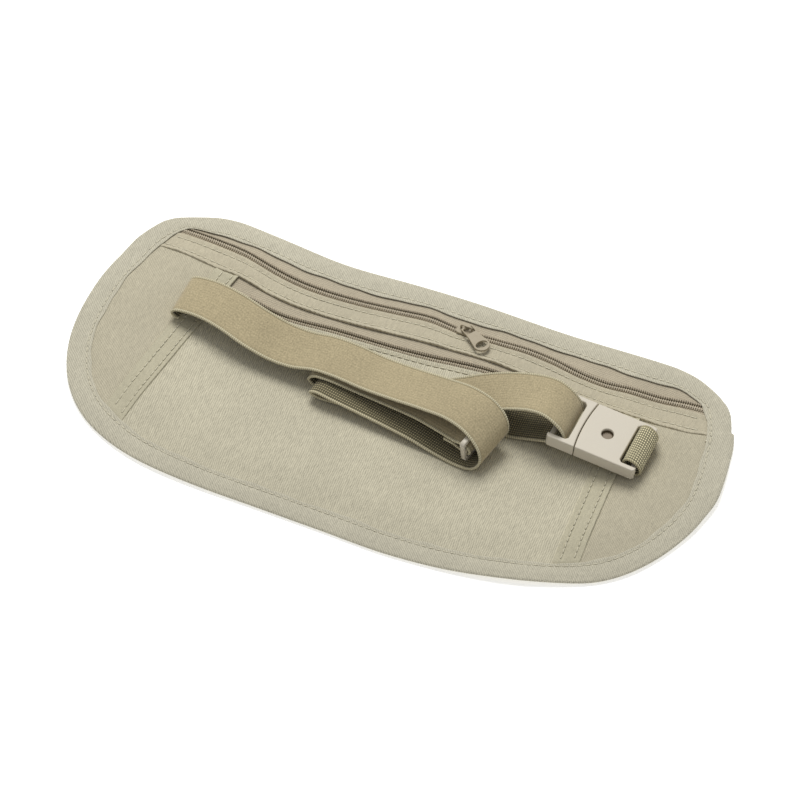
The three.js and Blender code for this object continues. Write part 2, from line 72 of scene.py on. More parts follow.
# Routes of the elastic: x, y, z, heading in degrees, and how far its far edge is lifted.
MAIN_ROUTE = [
    (-97.6, 18.6, 4.5, 0, 0), (-99.6, 18.6, 5.2, 0, 1), (-100.6, 18.5, 7.0, 0, 1), (-99.4, 18.4, 9.0, 0, 2),
    (-96, 18.2, 10.4, 0, 3), (-87, 17, 12.2, -3, 5), (-76, 14.2, 13.2, -6, 7), (-64, 10.8, 12.6, -7, 9),
    (-52, 8.9, 11.5, -5, 9), (-42, 8.6, 11.5, -4, 7), (-32, 9.4, 12.8, -4, 3), (-22, 8.9, 13.4, -5, 2),
    (-8, 7, 14, -8, 1), (6, 5.2, 16, -9, 1), (20, 3.4, 18.6, -10, 2), (33, 1.4, 20.6, -12, 5),
    (43, -1.6, 20, -14, 9), (49.5, -4.6, 16, -14, 12), (51, -6.5, 11, -14, 12), (48, -7.6, 6.6, -13, 7),
    (41.5, -7.4, 4.6, -11, 2), (30, -5.6, 4.8, -9, 2), (18, -3.8, 6.2, -8, 0), (6, -2.2, 7, -8, 0),
    (-8, -0.6, 7.8, -8, 0), (-20, 0.6, 8.6, -7, 0), (-27.2, 1.5, 8.8, -6, 0), (-30, 2, 7.2, -5, 0),
    (-27.4, 2.2, 5.5, -2, 0), (-20, 2.6, 5.1, 2, 0), (-8, 4.4, 5.1, 9, 0), (4, 7.6, 5.2, 15, 0),
    (15, 11.2, 5.4, 18, 2), (25, 14.6, 7.4, 17, 7), (34, 17, 11.2, 13, 8), (42, 18.4, 14.6, 9, 7),
    (51, 19, 18.2, 4, 5), (60, 18.9, 21, 0, 3), (66.5, 18, 21.8, 0, 1), (71.6, 17, 20, 1, 0),
    (74.8, 16.7, 16.6, 1.5, 0), (75.9, 16.6, 13.1, 1.5, 0),
]
MAIN_FOLD = 27
RETURN_ROUTE = [
    (76.2, 16.7, 12, 1.5, 0), (75.3, 16.7, 10.1, 1.5, 0), (72.6, 16.6, 9, 1.5, 0), (67, 16.6, 7.6, 2, 0),
    (60, 16.6, 5.6, 4, 0), (52, 15.8, 4.2, 7, 0), (42, 14.9, 3.85, 9, 0), (28, 12.2, 3.85, 9, 0),
    (12, 9.2, 3.85, 5, 0), (-8, 8, 3.85, 0, 0), (-24, 7.8, 4, -3, 0), (-31.5, 8, 5.2, -4, 0),
    (-33.4, 8.1, 7.4, -5, 0), (-31.2, 8.1, 9.9, -5, 0), (-25, 8, 10.7, -5, 0), (-12, 7, 10.6, -6, 0),
    (4, 5.2, 11, -9, 0), (18, 3, 11.9, -10, 1), (30, 0, 12.7, -12, 4), (37.5, -2.2, 13.3, -12, 6),
]
RETURN_FOLD = 12
WRAP_ROUND = 2.2

# ---- how the real cloth lies off its flat pattern -------------------------------------------
# Each list follows one line across the pattern: at each x, how far the cloth lies shifted along Y.

TOP_SHIFT = [(-140, -1), (-120, 1.2), (-97, 0.6), (-80, -0.8), (-52, -2.8), (-20, -1.1), (5, -0.4), (50, 0),
             (90, 1.1), (120, 1.5), (140, 1.6)]
INNER_SHIFT = [(-140, 3), (-122, 2.5), (-112, 0.3), (-99, -0.3), (-82, -1.6), (-61, -4.1), (-45, -4.6),
               (-27, -3.7), (-10, -2), (10, -2), (32, -1.1), (60, -1.2), (80, -1.2), (95, -0.8), (102, 0.1),
               (107, 0.8), (112, 0.7), (123, 1.8), (140, 2)]
UPPER_SHIFT = [(-140, 5), (-114, 4.7), (-100, 3.9), (-88, 2.8), (-80, 0.8), (-73, -1), (-61, -3), (-50, -3.4),
               (-33, -2.3), (-18, -0.3), (-4, 1.4), (8, 0.1), (27, 1), (39, 1.7), (51, 0.75), (63, -1.4),
               (75, -2.1), (86, -0.7), (98, -0.2), (112, 2.4), (122, 3.4), (140, 3)]
SEAM_SHIFT = [(-140, 4.5), (-113, 3.7), (-100, 2.2), (-91, 1.3), (-85, 1), (-79, -0.3), (-73, -1.8),
              (-61, -3.7), (-37, -3.6), (-10, -1), (-3, -0.3), (10, 0.4), (23, 1.2), (30, 1.2), (38, 0.7),
              (60, -1), (86, -2.2), (109, -1.5), (117, -0.2), (124, 2), (140, 2)]
LOWER_SHIFT = [(-140, 0), (-95, 1), (-75, 2), (-69, 0.2), (-63, -1.2), (-36, -0.8), (-7, -0.7), (4, -0.1),
               (16, 1.1), (29, 1.9), (45, 1), (74, -0.2), (140, 0)]
CALM_SHIFT = [(-140, 0), (140, 0)]
CALM_FROM_Y, CALM_TO_Y, INNER_Y = -30, 18, 59.5
BOTTOM_SHIFT = [(-140, -3), (-118, -2.2), (-90, -0.9), (-60, 1), (0, 0.8), (30, 0.1), (50, 1.2), (85, 2.7),
                (104, 2.7), (120, 0), (140, -2)]
SHIFT_ROWS = [(-EDGE_Y, BOTTOM_SHIFT), (CALM_FROM_Y, CALM_SHIFT), (CALM_TO_Y, CALM_SHIFT),
              (LOWER_Y, LOWER_SHIFT), (SEAM_Y, SEAM_SHIFT), (UPPER_Y, UPPER_SHIFT), (INNER_Y, INNER_SHIFT),
              (EDGE_Y, TOP_SHIFT)]
# How far the two ends lie shifted along X, by height on the pattern; the shift fades towards the middle.
END_FROM_X, END_TO_X = 104, 140
LEFT_SHIFT = [(-70, 2.1), (-45, 1.5), (-20, 2), (5, 2.4), (20, 2.2), (52, 1.9), (70, 2.1)]
RIGHT_SHIFT = [(-70, 1.2), (-18, 0.6), (-2, 1.9), (8, 2.2), (18, 1.1), (27, 0.3), (36, -0.2), (44, -1),
               (52, -0.9), (60, 0.6), (70, 1.2)]


def smooth(a, b, x):
    """0 before a, 1 after b, and a soft step between."""
    t = np.clip((x - a) / (b - a), 0, 1)
    return t * t * (3 - 2 * t)


def soft_interp(x, pairs):
    """A smooth curve through the pairs."""
    xs, ys = np.array(pairs, float).T
    slope = np.gradient(ys, xs)
    i = np.clip(np.searchsorted(xs, x) - 1, 0, len(xs) - 2)
    h = xs[i + 1] - xs[i]
    t = np.clip((x - xs[i]) / h, 0, 1)
    return ((2 * t**3 - 3 * t**2 + 1) * ys[i] + (t**3 - 2 * t**2 + t) * h * slope[i]
            + (3 * t**2 - 2 * t**3) * ys[i + 1] + (t**3 - t**2) * h * slope[i + 1])


def relax(points):
    """Moves points of the flat pattern to where the real cloth lies: shifted seams and lifted edges."""
    p = np.array(points, float)
    x, y = p[..., 0].copy(), p[..., 1].copy()
    rows = np.array([row for row, _ in SHIFT_ROWS])
    shifts = np.stack([soft_interp(x, pairs) for _, pairs in SHIFT_ROWS], -1)
    i = np.clip(np.searchsorted(rows, y) - 1, 0, len(rows) - 2)
    t = np.clip((y - rows[i]) / (rows[i + 1] - rows[i]), -0.2, 1.2)
    low = np.take_along_axis(shifts, i[..., None], -1)[..., 0]
    high = np.take_along_axis(shifts, i[..., None] + 1, -1)[..., 0]
    p[..., 1] = y + low + (high - low) * t
    end_shift = np.where(x > 0, soft_interp(y, RIGHT_SHIFT), soft_interp(y, LEFT_SHIFT))
    p[..., 0] = x + end_shift * smooth(END_FROM_X, END_TO_X, np.abs(x))
    p[..., 2] = p[..., 2] * edge_squeeze(x, y) + edge_lift(x, y)
    return p


def edge_squeeze(x, y):
    """How flat the layers are pressed: half their loose height at the sewn edge."""
    flat = np.stack([x.ravel(), y.ravel()], -1)
    inset = np.concatenate([np.sqrt(((part[:, None] - OUTLINE[None, ::3]) ** 2).sum(-1).min(1))
                            for part in np.array_split(flat, len(flat) // 4000 + 1)])
    return (0.5 + 0.5 * smooth(6, 26, inset)).reshape(x.shape)


def edge_lift(x, y):
    """The gentle waves of the outer edge above the table."""
    ends = smooth(112, 139, np.abs(x)) * (0.9 + 0.5 * np.sin(0.09 * y + 0.6))
    lifts = 1.3 * np.exp(-((x - 86) / 26) ** 2) + 0.5 * np.exp(-((x + 70) / 30) ** 2)
    bottom_wave = smooth(-38, -66, y) * lifts
    top_wave = smooth(50, 68, y) * (0.35 + 0.35 * np.sin(0.075 * x + 1.0))
    return np.maximum(0, ends) + bottom_wave + top_wave


def tape_x(y):
    """Where the middle of the right seam tape is at height y."""
    return TAPE_TOP_X + (SEAM_Y - y) * TAPE_LEAN


def upper_y(x):
    """Height of the level upper chain."""
    return UPPER_Y + 0 * x


def lower_y(x):
    """Height of the leaning lower chain."""
    return LOWER_Y + LOWER_LEAN * x


# ---- pouch outline --------------------------------------------------------------------------

def bezier(p0, p1, p2, p3, count):
    t = np.linspace(0, 1, count)[:, None]
    p0, p1, p2, p3 = (np.array(p, float) for p in (p0, p1, p2, p3))
    return (1 - t)**3 * p0 + 3 * (1 - t)**2 * t * p1 + 3 * (1 - t) * t**2 * p2 + t**3 * p3


def half_outline():
    """The right half, from the middle of the top edge down to the middle of the bottom edge."""
    top = np.array([[0, EDGE_Y], [TOP_STRAIGHT, EDGE_Y]])
    upper = bezier((TOP_STRAIGHT, EDGE_Y), (TOP_STRAIGHT + TOP_HANDLE[0], EDGE_Y),
                   (HALF_LENGTH, SIDE_Y + TOP_HANDLE[1]), (HALF_LENGTH, SIDE_Y), 80)
    lower = bezier((HALF_LENGTH, SIDE_Y), (HALF_LENGTH, SIDE_Y - BOTTOM_HANDLE[0]),
                   (BOTTOM_STRAIGHT + BOTTOM_HANDLE[1], -EDGE_Y), (BOTTOM_STRAIGHT, -EDGE_Y), 120)
    return np.vstack([top, upper[1:], lower[1:], [[0, -EDGE_Y]]])


def resample(line, step):
    """The same line with points a step apart."""
    along = np.concatenate([[0], np.cumsum(np.linalg.norm(np.diff(line, axis=0), axis=1))])
    at = np.linspace(0, along[-1], int(round(along[-1] / step)) + 1)
    return np.stack([np.interp(at, along, line[:, k]) for k in range(line.shape[1])], -1), at


OUTLINE_STEP = 0.9
HALF = half_outline()
OUTLINE, OUTLINE_AT = resample(np.vstack([HALF, (HALF * (-1, 1))[::-1][1:]]), OUTLINE_STEP)
OUTLINE, OUTLINE_AT = OUTLINE[:-1], OUTLINE_AT[:-1]
TANGENT = np.roll(OUTLINE, -1, 0) - np.roll(OUTLINE, 1, 0)
TANGENT /= np.linalg.norm(TANGENT, axis=1, keepdims=True)
INWARD = np.stack([TANGENT[:, 1], -TANGENT[:, 0]], -1)


def half_width(y, inset):
    """How far the pouch, moved in by inset, reaches from its middle at height y."""
    edge = OUTLINE + INWARD * inset
    right = edge[edge[:, 0] > 0]
    order = np.argsort(right[:, 1], kind="stable")
    return np.interp(y, right[order, 1], right[order, 0])


# ---- meshes ---------------------------------------------------------------------------------

def mesh_object(name, points, faces, materials, slots=None, facts=None, sharp=None):
    mesh = bpy.data.meshes.new(name)
    mesh.from_pydata((np.asarray(points, float).reshape(-1, 3) * MM).tolist(), [], faces)
    for material in materials:
        mesh.materials.append(material)
    if slots is not None:
        mesh.polygons.foreach_set("material_index", np.asarray(slots, np.int32))
    for key, values in (facts or {}).items():
        fact = mesh.attributes.new(key, "FLOAT", "POINT")
        fact.data.foreach_set("value", np.asarray(values, np.float32).ravel())
    mesh.polygons.foreach_set("use_smooth", [True] * len(mesh.polygons))
    if sharp is not None:
        mesh.set_sharp_from_angle(angle=math.radians(sharp))
    mesh.validate()
    obj = bpy.data.objects.new(name, mesh)
    bpy.context.scene.collection.objects.link(obj)
    return obj


def grid_faces(rows, columns, offset=0, wrap=False):
    """Quads over a grid of rows by columns; wrap joins the last column to the first."""
    i, j = np.meshgrid(np.arange(rows - 1), np.arange(columns if wrap else columns - 1), indexing="ij")
    k = (j + 1) % columns
    quads = np.stack([i * columns + j, i * columns + k, (i + 1) * columns + k, (i + 1) * columns + j], -1)
    return quads.reshape(-1, 4) + offset


def cloth_solid(name, top, thick, material, sharp=50):
    """A thin closed cloth from its upper surface, an array of rows by columns of points."""
    rows, columns = top.shape[:2]
    under = top - (0, 0, thick)
    count = rows * columns
    rim = np.concatenate([np.arange(columns), np.arange(1, rows) * columns + columns - 1,
                          (rows - 1) * columns + np.arange(columns - 2, -1, -1),
                          np.arange(rows - 2, 0, -1) * columns])
    after = np.roll(rim, -1)
    side = np.stack([rim, rim + count, after + count, after], -1)
    faces = np.vstack([grid_faces(rows, columns), grid_faces(rows, columns, count)[:, ::-1], side])
    points = np.concatenate([top.reshape(-1, 3), under.reshape(-1, 3)])
    return mesh_object(name, points, faces.tolist(), [material], sharp=sharp)


def tube_sections(sections, closed):
    """Points and faces of sections joined in a row; closed also joins the last to the first."""
    rings, size = sections.shape[:2]
    faces = grid_faces(rings, size, wrap=True)
    if closed:
        j = np.arange(size)
        k = (j + 1) % size
        last = (rings - 1) * size
        faces = np.vstack([faces, np.stack([last + j, last + k, k, j], -1)])
    return sections.reshape(-1, 3), faces


# ---- materials ------------------------------------------------------------------------------

def linear(rgb):
    """Screen colour, 0 to 255, as the linear colour that a shader takes."""
    c = np.array(rgb, float) / 255
    return (*np.where(c <= 0.04045, c / 12.92, ((c + 0.055) / 1.055) ** 2.4), 1.0)


class Shader:
    """A Principled material with short calls for the nodes that feed it."""

    def __init__(self, name, roughness, sheen=0.0, specular=0.5, coat=0.0):
        self.material = bpy.data.materials.new(name)
        self.material.use_nodes = True
        self.tree = self.material.node_tree
        self.surface = self.tree.nodes["Principled BSDF"]
        for key, value in (("Roughness", roughness), ("Sheen Weight", sheen), ("Sheen Roughness", 0.4),
                           ("Specular IOR Level", specular), ("Coat Weight", coat), ("Coat Roughness", 0.25)):
            self.surface.inputs[key].default_value = value
        self.place = self.node("ShaderNodeTexCoord").outputs["Object"]

    def node(self, kind, **settings):
        made = self.tree.nodes.new(kind)
        for key, value in settings.items():
            setattr(made, key, value)
        return made

    def link(self, source, target):
        if hasattr(source, "is_output"):
            self.tree.links.new(source, target)
        else:
            target.default_value = source

    def math(self, operation, a, b=0.0, c=0.0):
        made = self.node("ShaderNodeMath", operation=operation)
        for value, socket in zip((a, b, c), made.inputs):
            self.link(value, socket)
        return made.outputs[0]

    def wave(self, direction, pitch, wander=0.0):
        """A sine across the surface, from -1 to 1, one turn in pitch millimetres along direction."""
        made = self.node("ShaderNodeVectorMath", operation="DOT_PRODUCT")
        self.link(self.place, made.inputs[0])
        made.inputs[1].default_value = Vector(direction).normalized() * (2 * math.pi / (pitch * MM))
        turn = self.math("MULTIPLY_ADD", self.noise(5.0, 2), wander, made.outputs["Value"])
        return self.math("SINE", turn)

    def fact_wave(self, fact, pitch, phase=0.0):
        value = self.fact(fact)
        return self.math("SINE", self.math("MULTIPLY_ADD", value, 2 * math.pi / pitch, phase))

    def fact(self, name):
        return self.node("ShaderNodeAttribute", attribute_name=name).outputs["Fac"]

    def noise(self, size, detail=2.0, stretch=(1, 1, 1), turn=0.0, roughness=0.5):
        """Noise from 0 to 1 with features of about size millimetres, longer by stretch along each axis."""
        mapping = self.node("ShaderNodeMapping")
        self.link(self.place, mapping.inputs["Vector"])
        mapping.inputs["Rotation"].default_value = (0, 0, math.radians(turn))
        mapping.inputs["Scale"].default_value = [1 / (size * MM * s) for s in stretch]
        made = self.node("ShaderNodeTexNoise")
        made.inputs["Scale"].default_value = 1.0
        made.inputs["Detail"].default_value = detail
        made.inputs["Roughness"].default_value = roughness
        self.link(mapping.outputs[0], made.inputs["Vector"])
        return made.outputs["Fac"]

    def spread(self, value, low, high):
        """value from 0 to 1 as a number from low to high."""
        made = self.node("ShaderNodeMapRange")
        self.link(value, made.inputs["Value"])
        made.inputs["To Min"].default_value = low
        made.inputs["To Max"].default_value = high
        return made.outputs[0]

    def step(self, value, start, end):
        """0 below start, 1 above end."""
        made = self.node("ShaderNodeMapRange", interpolation_type="SMOOTHSTEP")
        self.link(value, made.inputs["Value"])
        made.inputs["From Min"].default_value = start
        made.inputs["From Max"].default_value = end
        return made.outputs[0]

    def mix(self, factor, a, b, blend="MIX"):
        made = self.node("ShaderNodeMix", data_type="RGBA", blend_type=blend)
        for value, socket in ((factor, made.inputs[0]), (a, made.inputs[6]), (b, made.inputs[7])):
            self.link(value, socket)
        return made.outputs[2]

    def shade(self, colour, amount):
        """colour times a grey amount."""
        grey = self.node("ShaderNodeCombineColor")
        for socket in grey.inputs[:3]:
            self.link(amount, socket)
        return self.mix(1.0, colour, grey.outputs[0], "MULTIPLY")

    def finish(self, colour, height=None, depth=0.1, roughness=None):
        """Sets the colour, a bump of depth millimetres, and a roughness that varies."""
        self.link(colour, self.surface.inputs["Base Color"])
        if height is not None:
            bump = self.node("ShaderNodeBump")
            bump.inputs["Distance"].default_value = depth * MM
            bump.inputs["Strength"].default_value = 1.0
            self.link(height, bump.inputs["Height"])
            self.link(bump.outputs[0], self.surface.inputs["Normal"])
        if roughness is not None:
            self.link(roughness, self.surface.inputs["Roughness"])
        return self.material


def woven(name, rgb, pitch=0.55, rib=(1, 0.35, 0), warm=(0.96, 1.04), contrast=0.10, depth=0.12, streak=0.28,
          sheen=0.25):
    """Ribbed cloth: ribs across the direction given, picks across them, streaks and cloudy tone."""
    s = Shader(name, 0.92, sheen=sheen, specular=0.2)
    ribs = s.wave(rib, pitch, 9)
    picks = s.wave((-rib[1], rib[0], rib[2]), pitch * 0.8, 9)
    angle = math.degrees(math.atan2(rib[1], rib[0]))
    weave = s.math("MULTIPLY_ADD", picks, 0.45, ribs)
    nap = s.noise(0.7, 3, (1, 4, 1), -angle)
    fuzz = s.noise(0.45, 3)
    cloud = s.noise(34, 2)
    tone = s.math("MULTIPLY_ADD", weave, contrast * 0.5, 1.0)
    tone = s.math("ADD", tone, s.spread(nap, -streak, streak))
    tone = s.math("ADD", tone, s.spread(fuzz, -0.24, 0.24))
    colour = s.mix(cloud, linear(np.array(rgb) * warm[0]), linear(np.minimum(255, np.array(rgb) * warm[1])))
    height = s.math("ADD", s.math("MULTIPLY", weave, 0.35), s.math("MULTIPLY", nap, 0.9))
    return s.finish(s.shade(colour, tone), height, depth, s.spread(nap, 0.82, 0.98))


def stitch_thread(name, rgb):
    """Sewing thread, with painted shade darkening it where it dives into its holes."""
    s = Shader(name, 0.75, sheen=0.2, specular=0.3)
    twist = s.fact_wave("along", 0.55)
    # Painted shade: the thread's colour drops to three quarters towards each stitch end, standing for the shade at
    # its holes.
    ends = s.step(s.fact("end"), 0.8, 1.0)
    colour = s.mix(ends, linear(rgb), linear(np.array(rgb) * 0.75))
    tone = s.math("ADD", s.math("MULTIPLY", twist, 0.07), s.spread(s.noise(3.0), 0.9, 1.08))
    return s.finish(s.shade(colour, tone), twist, 0.03)


def elastic_face(name, rgb):
    """The brushed face of the elastic: fine nap, faint cords along it, pale selvage beside a dark line."""
    s = Shader(name, 0.9, sheen=0.35, specular=0.2)
    across = s.math("ABSOLUTE", s.fact("across"))
    cords = s.fact_wave("across", 1.3)
    picks = s.fact_wave("along", 1.15)
    nap = s.noise(0.6, 4)
    tone = s.math("MULTIPLY_ADD", cords, 0.035, s.spread(nap, 0.45, 1.55))
    tone = s.math("MULTIPLY_ADD", picks, 0.03, tone)
    colour = s.mix(s.noise(18, 2), linear(np.array(rgb) * 0.95), linear(np.array(rgb) * 1.045))
    line = s.math("SUBTRACT", s.step(across, 8.35, 8.6), s.step(across, 8.75, 9.0))
    colour = s.mix(s.math("MULTIPLY", line, 0.5), colour, linear((118, 106, 76)))
    colour = s.mix(s.math("MULTIPLY", s.step(across, 9.0, 9.35), 0.6), colour, linear((214, 206, 176)))
    height = s.math("MULTIPLY_ADD", cords, 0.12, nap)
    return s.finish(s.shade(colour, tone), height, 0.10, s.spread(nap, 0.8, 0.98))


def elastic_grid(name, rgb):
    """The inner face of the elastic: a grid of pale floats over dark gaps."""
    s = Shader(name, 0.88, sheen=0.2, specular=0.25)
    cords = s.fact_wave("across", 1.15)
    picks = s.fact_wave("along", 1.0)
    cell = s.math("MULTIPLY", s.step(cords, -0.75, 0.35), s.step(picks, -0.75, 0.35))
    nap = s.noise(0.5, 2)
    colour = s.mix(cell, linear(np.array(rgb) * 0.55), linear(np.array(rgb) * 1.06))
    across = s.math("ABSOLUTE", s.fact("across"))
    colour = s.mix(s.math("MULTIPLY", s.step(across, 8.8, 9.1), 0.75), colour, linear((205, 196, 165)))
    return s.finish(s.shade(colour, s.spread(nap, 0.88, 1.12)), s.math("MULTIPLY_ADD", nap, 0.3, cell), 0.22)


def elastic_edge(name, rgb):
    """The selvage: little pale loops a millimetre apart."""
    s = Shader(name, 0.8, sheen=0.2, specular=0.3)
    loops = s.fact_wave("along", 0.95)
    colour = s.mix(s.step(loops, -0.9, 0.7), linear(np.array(rgb) * 0.8), linear(rgb))
    return s.finish(s.shade(colour, s.spread(s.noise(0.5, 2), 0.85, 1.15)), loops, 0.06)


def moulded(name, rgb, roughness=0.42):
    """Satin moulded plastic with a fine spark texture and faint flow marks."""
    s = Shader(name, roughness, specular=0.45)
    spark = s.noise(0.16, 2)
    flow = s.noise(7, 3, (3, 1, 1))
    colour = s.mix(flow, linear(np.array(rgb) * 0.97), linear(np.minimum(255, np.array(rgb) * 1.02)))
    return s.finish(s.shade(colour, s.spread(spark, 0.975, 1.02)), spark, 0.012, s.spread(flow, 0.36, 0.5))


def enamel(name, rgb):
    """Painted die-cast metal, a little worn and dimpled."""
    s = Shader(name, 0.55, specular=0.3)
    dimple = s.noise(0.9, 3)
    worn = s.noise(2.4, 4)
    colour = s.mix(s.step(worn, 0.62, 0.75), linear(rgb), linear(np.array(rgb) * 0.88))
    return s.finish(s.shade(colour, s.spread(dimple, 0.94, 1.05)), dimple, 0.05, s.spread(worn, 0.45, 0.62))


def nylon(name, rgb):
    """Coil monofilament: dull gloss, darker in its dye streaks."""
    s = Shader(name, 0.38, specular=0.5)
    dye = s.noise(1.6, 2)
    colour = s.mix(dye, linear(np.array(rgb) * 0.9), linear(np.minimum(255, np.array(rgb) * 1.08)))
    return s.finish(colour, s.noise(0.3, 2), 0.02, s.spread(dye, 0.3, 0.5))


def table(name):
    """Backlit white board: shadows on it stay pale."""
    s = Shader(name, 0.6, specular=0.0)
    s.surface.inputs["Emission Color"].default_value = (1, 1, 1, 1)
    s.surface.inputs["Emission Strength"].default_value = 0.45
    return s.finish(s.mix(s.noise(60, 2), linear((246, 246, 246)), linear((250, 250, 250))))


FRONT = woven("front_ribbed_cloth", (197, 191, 169), rib=(1, 0.12, 0), pitch=0.86, contrast=0.32)
WING = woven("wing_twill", (187, 180, 158), rib=(1, 1.1, 0), pitch=0.86, streak=0.22, contrast=0.16)
STRIP = woven("strip_cloth", (193, 185, 162), rib=(0.25, 1, 0), streak=0.2)
BACKING = woven("back_cloth", (193, 187, 165), rib=(1, 0.1, 0))
LINING = woven("lining_cloth", (157, 149, 124), pitch=0.4, streak=0.05)
BINDING = woven("binding_cloth", (193, 188, 169), rib=(1, 1, 0), pitch=0.86, streak=0.24, contrast=0.24)
TAPE = woven("seam_tape_cloth", (194, 188, 164), rib=(1, 0.2, 0), pitch=0.5, streak=0.16)
ZIP_TAPE = woven("zip_tape_weave", (180, 170, 149), rib=(0.02, 1, 0), pitch=0.9, streak=0.14, contrast=0.28)
THREAD = stitch_thread("cream_thread", (216, 210, 187))
ELASTIC = elastic_face("elastic_brushed_face", (176, 163, 131))
ELASTIC_GRID = elastic_grid("elastic_inner_face", (166, 156, 122))
ELASTIC_EDGE = elastic_edge("elastic_selvage", (210, 201, 169))
# Partly the webbing's own paler colour and partly painted light: its colour is raised further so that its face
# reads as lit where the key lamp leaves it in shade.
WEBBING = elastic_grid("short_webbing_face_painted_light", (242, 232, 190))
WEBBING_EDGE = elastic_edge("short_webbing_edge", (190, 181, 146))
ACETAL = moulded("pale_acetal", (206, 198, 181))
# Painted shade: the tongue is the buckle's pale acetal painted dark, standing for the shade inside the button
# hole.
SHADE_PAINTED_TONGUE_ACETAL = moulded("tongue_acetal_painted_shade", (124, 108, 84), 0.6)
ENAMEL = enamel("taupe_enamel", (170, 159, 136))
COIL = nylon("coil_nylon", (184, 172, 149))

# ---- pouch cloth ----------------------------------------------------------------------------

ZIP_TAPE_TOP, FACE_TOP, STRIP_TOP, SEAM_TAPE_TOP, BINDING_TOP = 2.55, 3.12, 3.2, 3.75, 3.95
STRIP_EDGE_Y = UPPER_Y - CHAIN_HALF - 1.2
FRONT_EDGE = CHAIN_HALF + 0.35
FRONT_BOTTOM_Y, FRONT_TOP_Y = -EDGE_Y + UNDER_BINDING, LOWER_Y - FRONT_EDGE
CLOTH_THICK = 0.42
HEM_STITCH_AT = 2.2
STITCH_PITCH = 3.1


def ripple(x, y, turn=0.0):
    """Slow unevenness of laid cloth, about one unit high."""
    return (0.5 * np.sin(0.11 * x + 0.05 * y + 1.3 + turn) + 0.35 * np.sin(0.07 * x - 0.16 * y + 2.1 + 2 * turn)
            + 0.2 * np.sin(0.21 * x + 0.13 * y + 0.4 + turn))


def pucker(along, depth=0.07):
    """The small rise between stitches along a sewn edge."""
    return depth * np.sin(2 * math.pi * along / STITCH_PITCH) + 0.5 * depth * np.sin(0.53 * along + 0.7)


def hem(t, along, stitch_at=HEM_STITCH_AT, lip=0.4):
    """Height of a folded and topstitched edge, t from the fold: a rounded lip, then the stitch groove."""
    roll = 0.35
    drop = np.where(t < roll, roll * (1 - np.sqrt(np.clip(1 - ((roll - t) / roll) ** 2, 0, 1))), 0)
    groove = np.exp(-((t - stitch_at) / 0.55) ** 2)
    return (lip + pucker(along)) * np.exp(-(t / 1.7) ** 2) - drop - groove * (0.2 - pucker(along))


NEAR_EDGE = (0, 0.08, 0.2, 0.4, 0.8, 1.3, 1.8, 2.2, 2.6, 3.2)


def edge_rows(low, high, step):
    """Values from low to high, close together near both ends."""
    near = np.array(NEAR_EDGE)
    middle = np.linspace(low + near[-1] + step, high - near[-1] - step,
                         max(2, int((high - low - 2 * near[-1]) / step)))
    return np.concatenate([low + near, middle, high - near[::-1]])


def row_grid(ys, left, right, columns):
    """Rows of points at heights ys, each spread evenly from left(y) to right(y)."""
    u = np.linspace(0, 1, columns)
    a, b = left(ys)[:, None], right(ys)[:, None]
    return a + (b - a) * u, np.repeat(ys[:, None], columns, 1)


def points_of(x, y, z):
    return np.stack([x, y, z * np.ones_like(x)], -1)


def make_flat_cloth(name, inset, top, thick, material):
    ys = np.linspace(-EDGE_Y + inset + 0.05, EDGE_Y - inset - 0.05, 90)
    x, y = row_grid(ys, lambda v: -half_width(v, inset), lambda v: half_width(v, inset), 170)
    return cloth_solid(name, relax(points_of(x, y, top + 0.04 * ripple(x, y))), thick, material)


def front_z(x, y):
    """Height of the pocket front: lower at its bottom edge and beside the seam tapes."""
    low = 0.35 * smooth(-48, -60, y)
    seams = 0.12 * np.exp(-((np.abs(x) - tape_x(y) + 6) / 4) ** 2)
    return FACE_TOP + 0.16 * ripple(x, y) + 0.25 * np.exp(-((y + 14) / 40) ** 2) - low - seams


def front_side(y):
    """How far the front panel reaches from the middle: under the seam tape, or under the binding."""
    return np.minimum(tape_x(y) - 1.5, half_width(y, UNDER_BINDING))


def make_front_panel():
    """The pocket front; its folded top edge follows the leaning lower chain."""
    fine = np.array((*NEAR_EDGE, 4))
    ys = np.concatenate([np.linspace(FRONT_BOTTOM_Y, FRONT_TOP_Y - 4.9, 86), FRONT_TOP_Y - fine[::-1]])
    x, y = row_grid(ys, lambda v: -front_side(v), front_side, 150)
    z = front_z(x, y) + hem(FRONT_TOP_Y - y, x)
    y = y + LOWER_LEAN * x * smooth(-10, FRONT_TOP_Y - 4, y)
    return cloth_solid("front_panel_cloth", relax(points_of(x, y, z)), CLOTH_THICK, FRONT)


WING_BOTTOM_Y = -58


def wing_inner(y):
    return tape_x(y) - 2


def wing_outer(y):
    return half_width(y, UNDER_BINDING)


def make_wing(name, side):
    """A side panel, from under its seam tape to under the binding."""
    ys = np.linspace(WING_BOTTOM_Y, SEAM_Y + 2.2, 88)
    ys = ys[wing_outer(ys) > wing_inner(ys) + 0.6]
    x, y = row_grid(ys, wing_inner, wing_outer, 46)
    puff = 0.35 * np.sin(math.pi * np.clip((x - tape_x(y)) / (wing_outer(ys)[:, None] - tape_x(y)), 0, 1))
    x = side * x
    z = FACE_TOP - 0.12 + 0.14 * ripple(x, y, 1.7) + puff - 0.3 * smooth(34, 40, y)
    grid = points_of(x, y, z)
    return cloth_solid(name, relax(grid if side > 0 else grid[:, ::-1]), CLOTH_THICK, WING)


STRIP_STITCH_AT = 2.0


def strip_lip(x):
    """The strip's lower fold stands looser here and there."""
    return 1.3 + 0.35 * np.sin(0.21 * x + 0.8) + 0.25 * np.sin(0.47 * x)


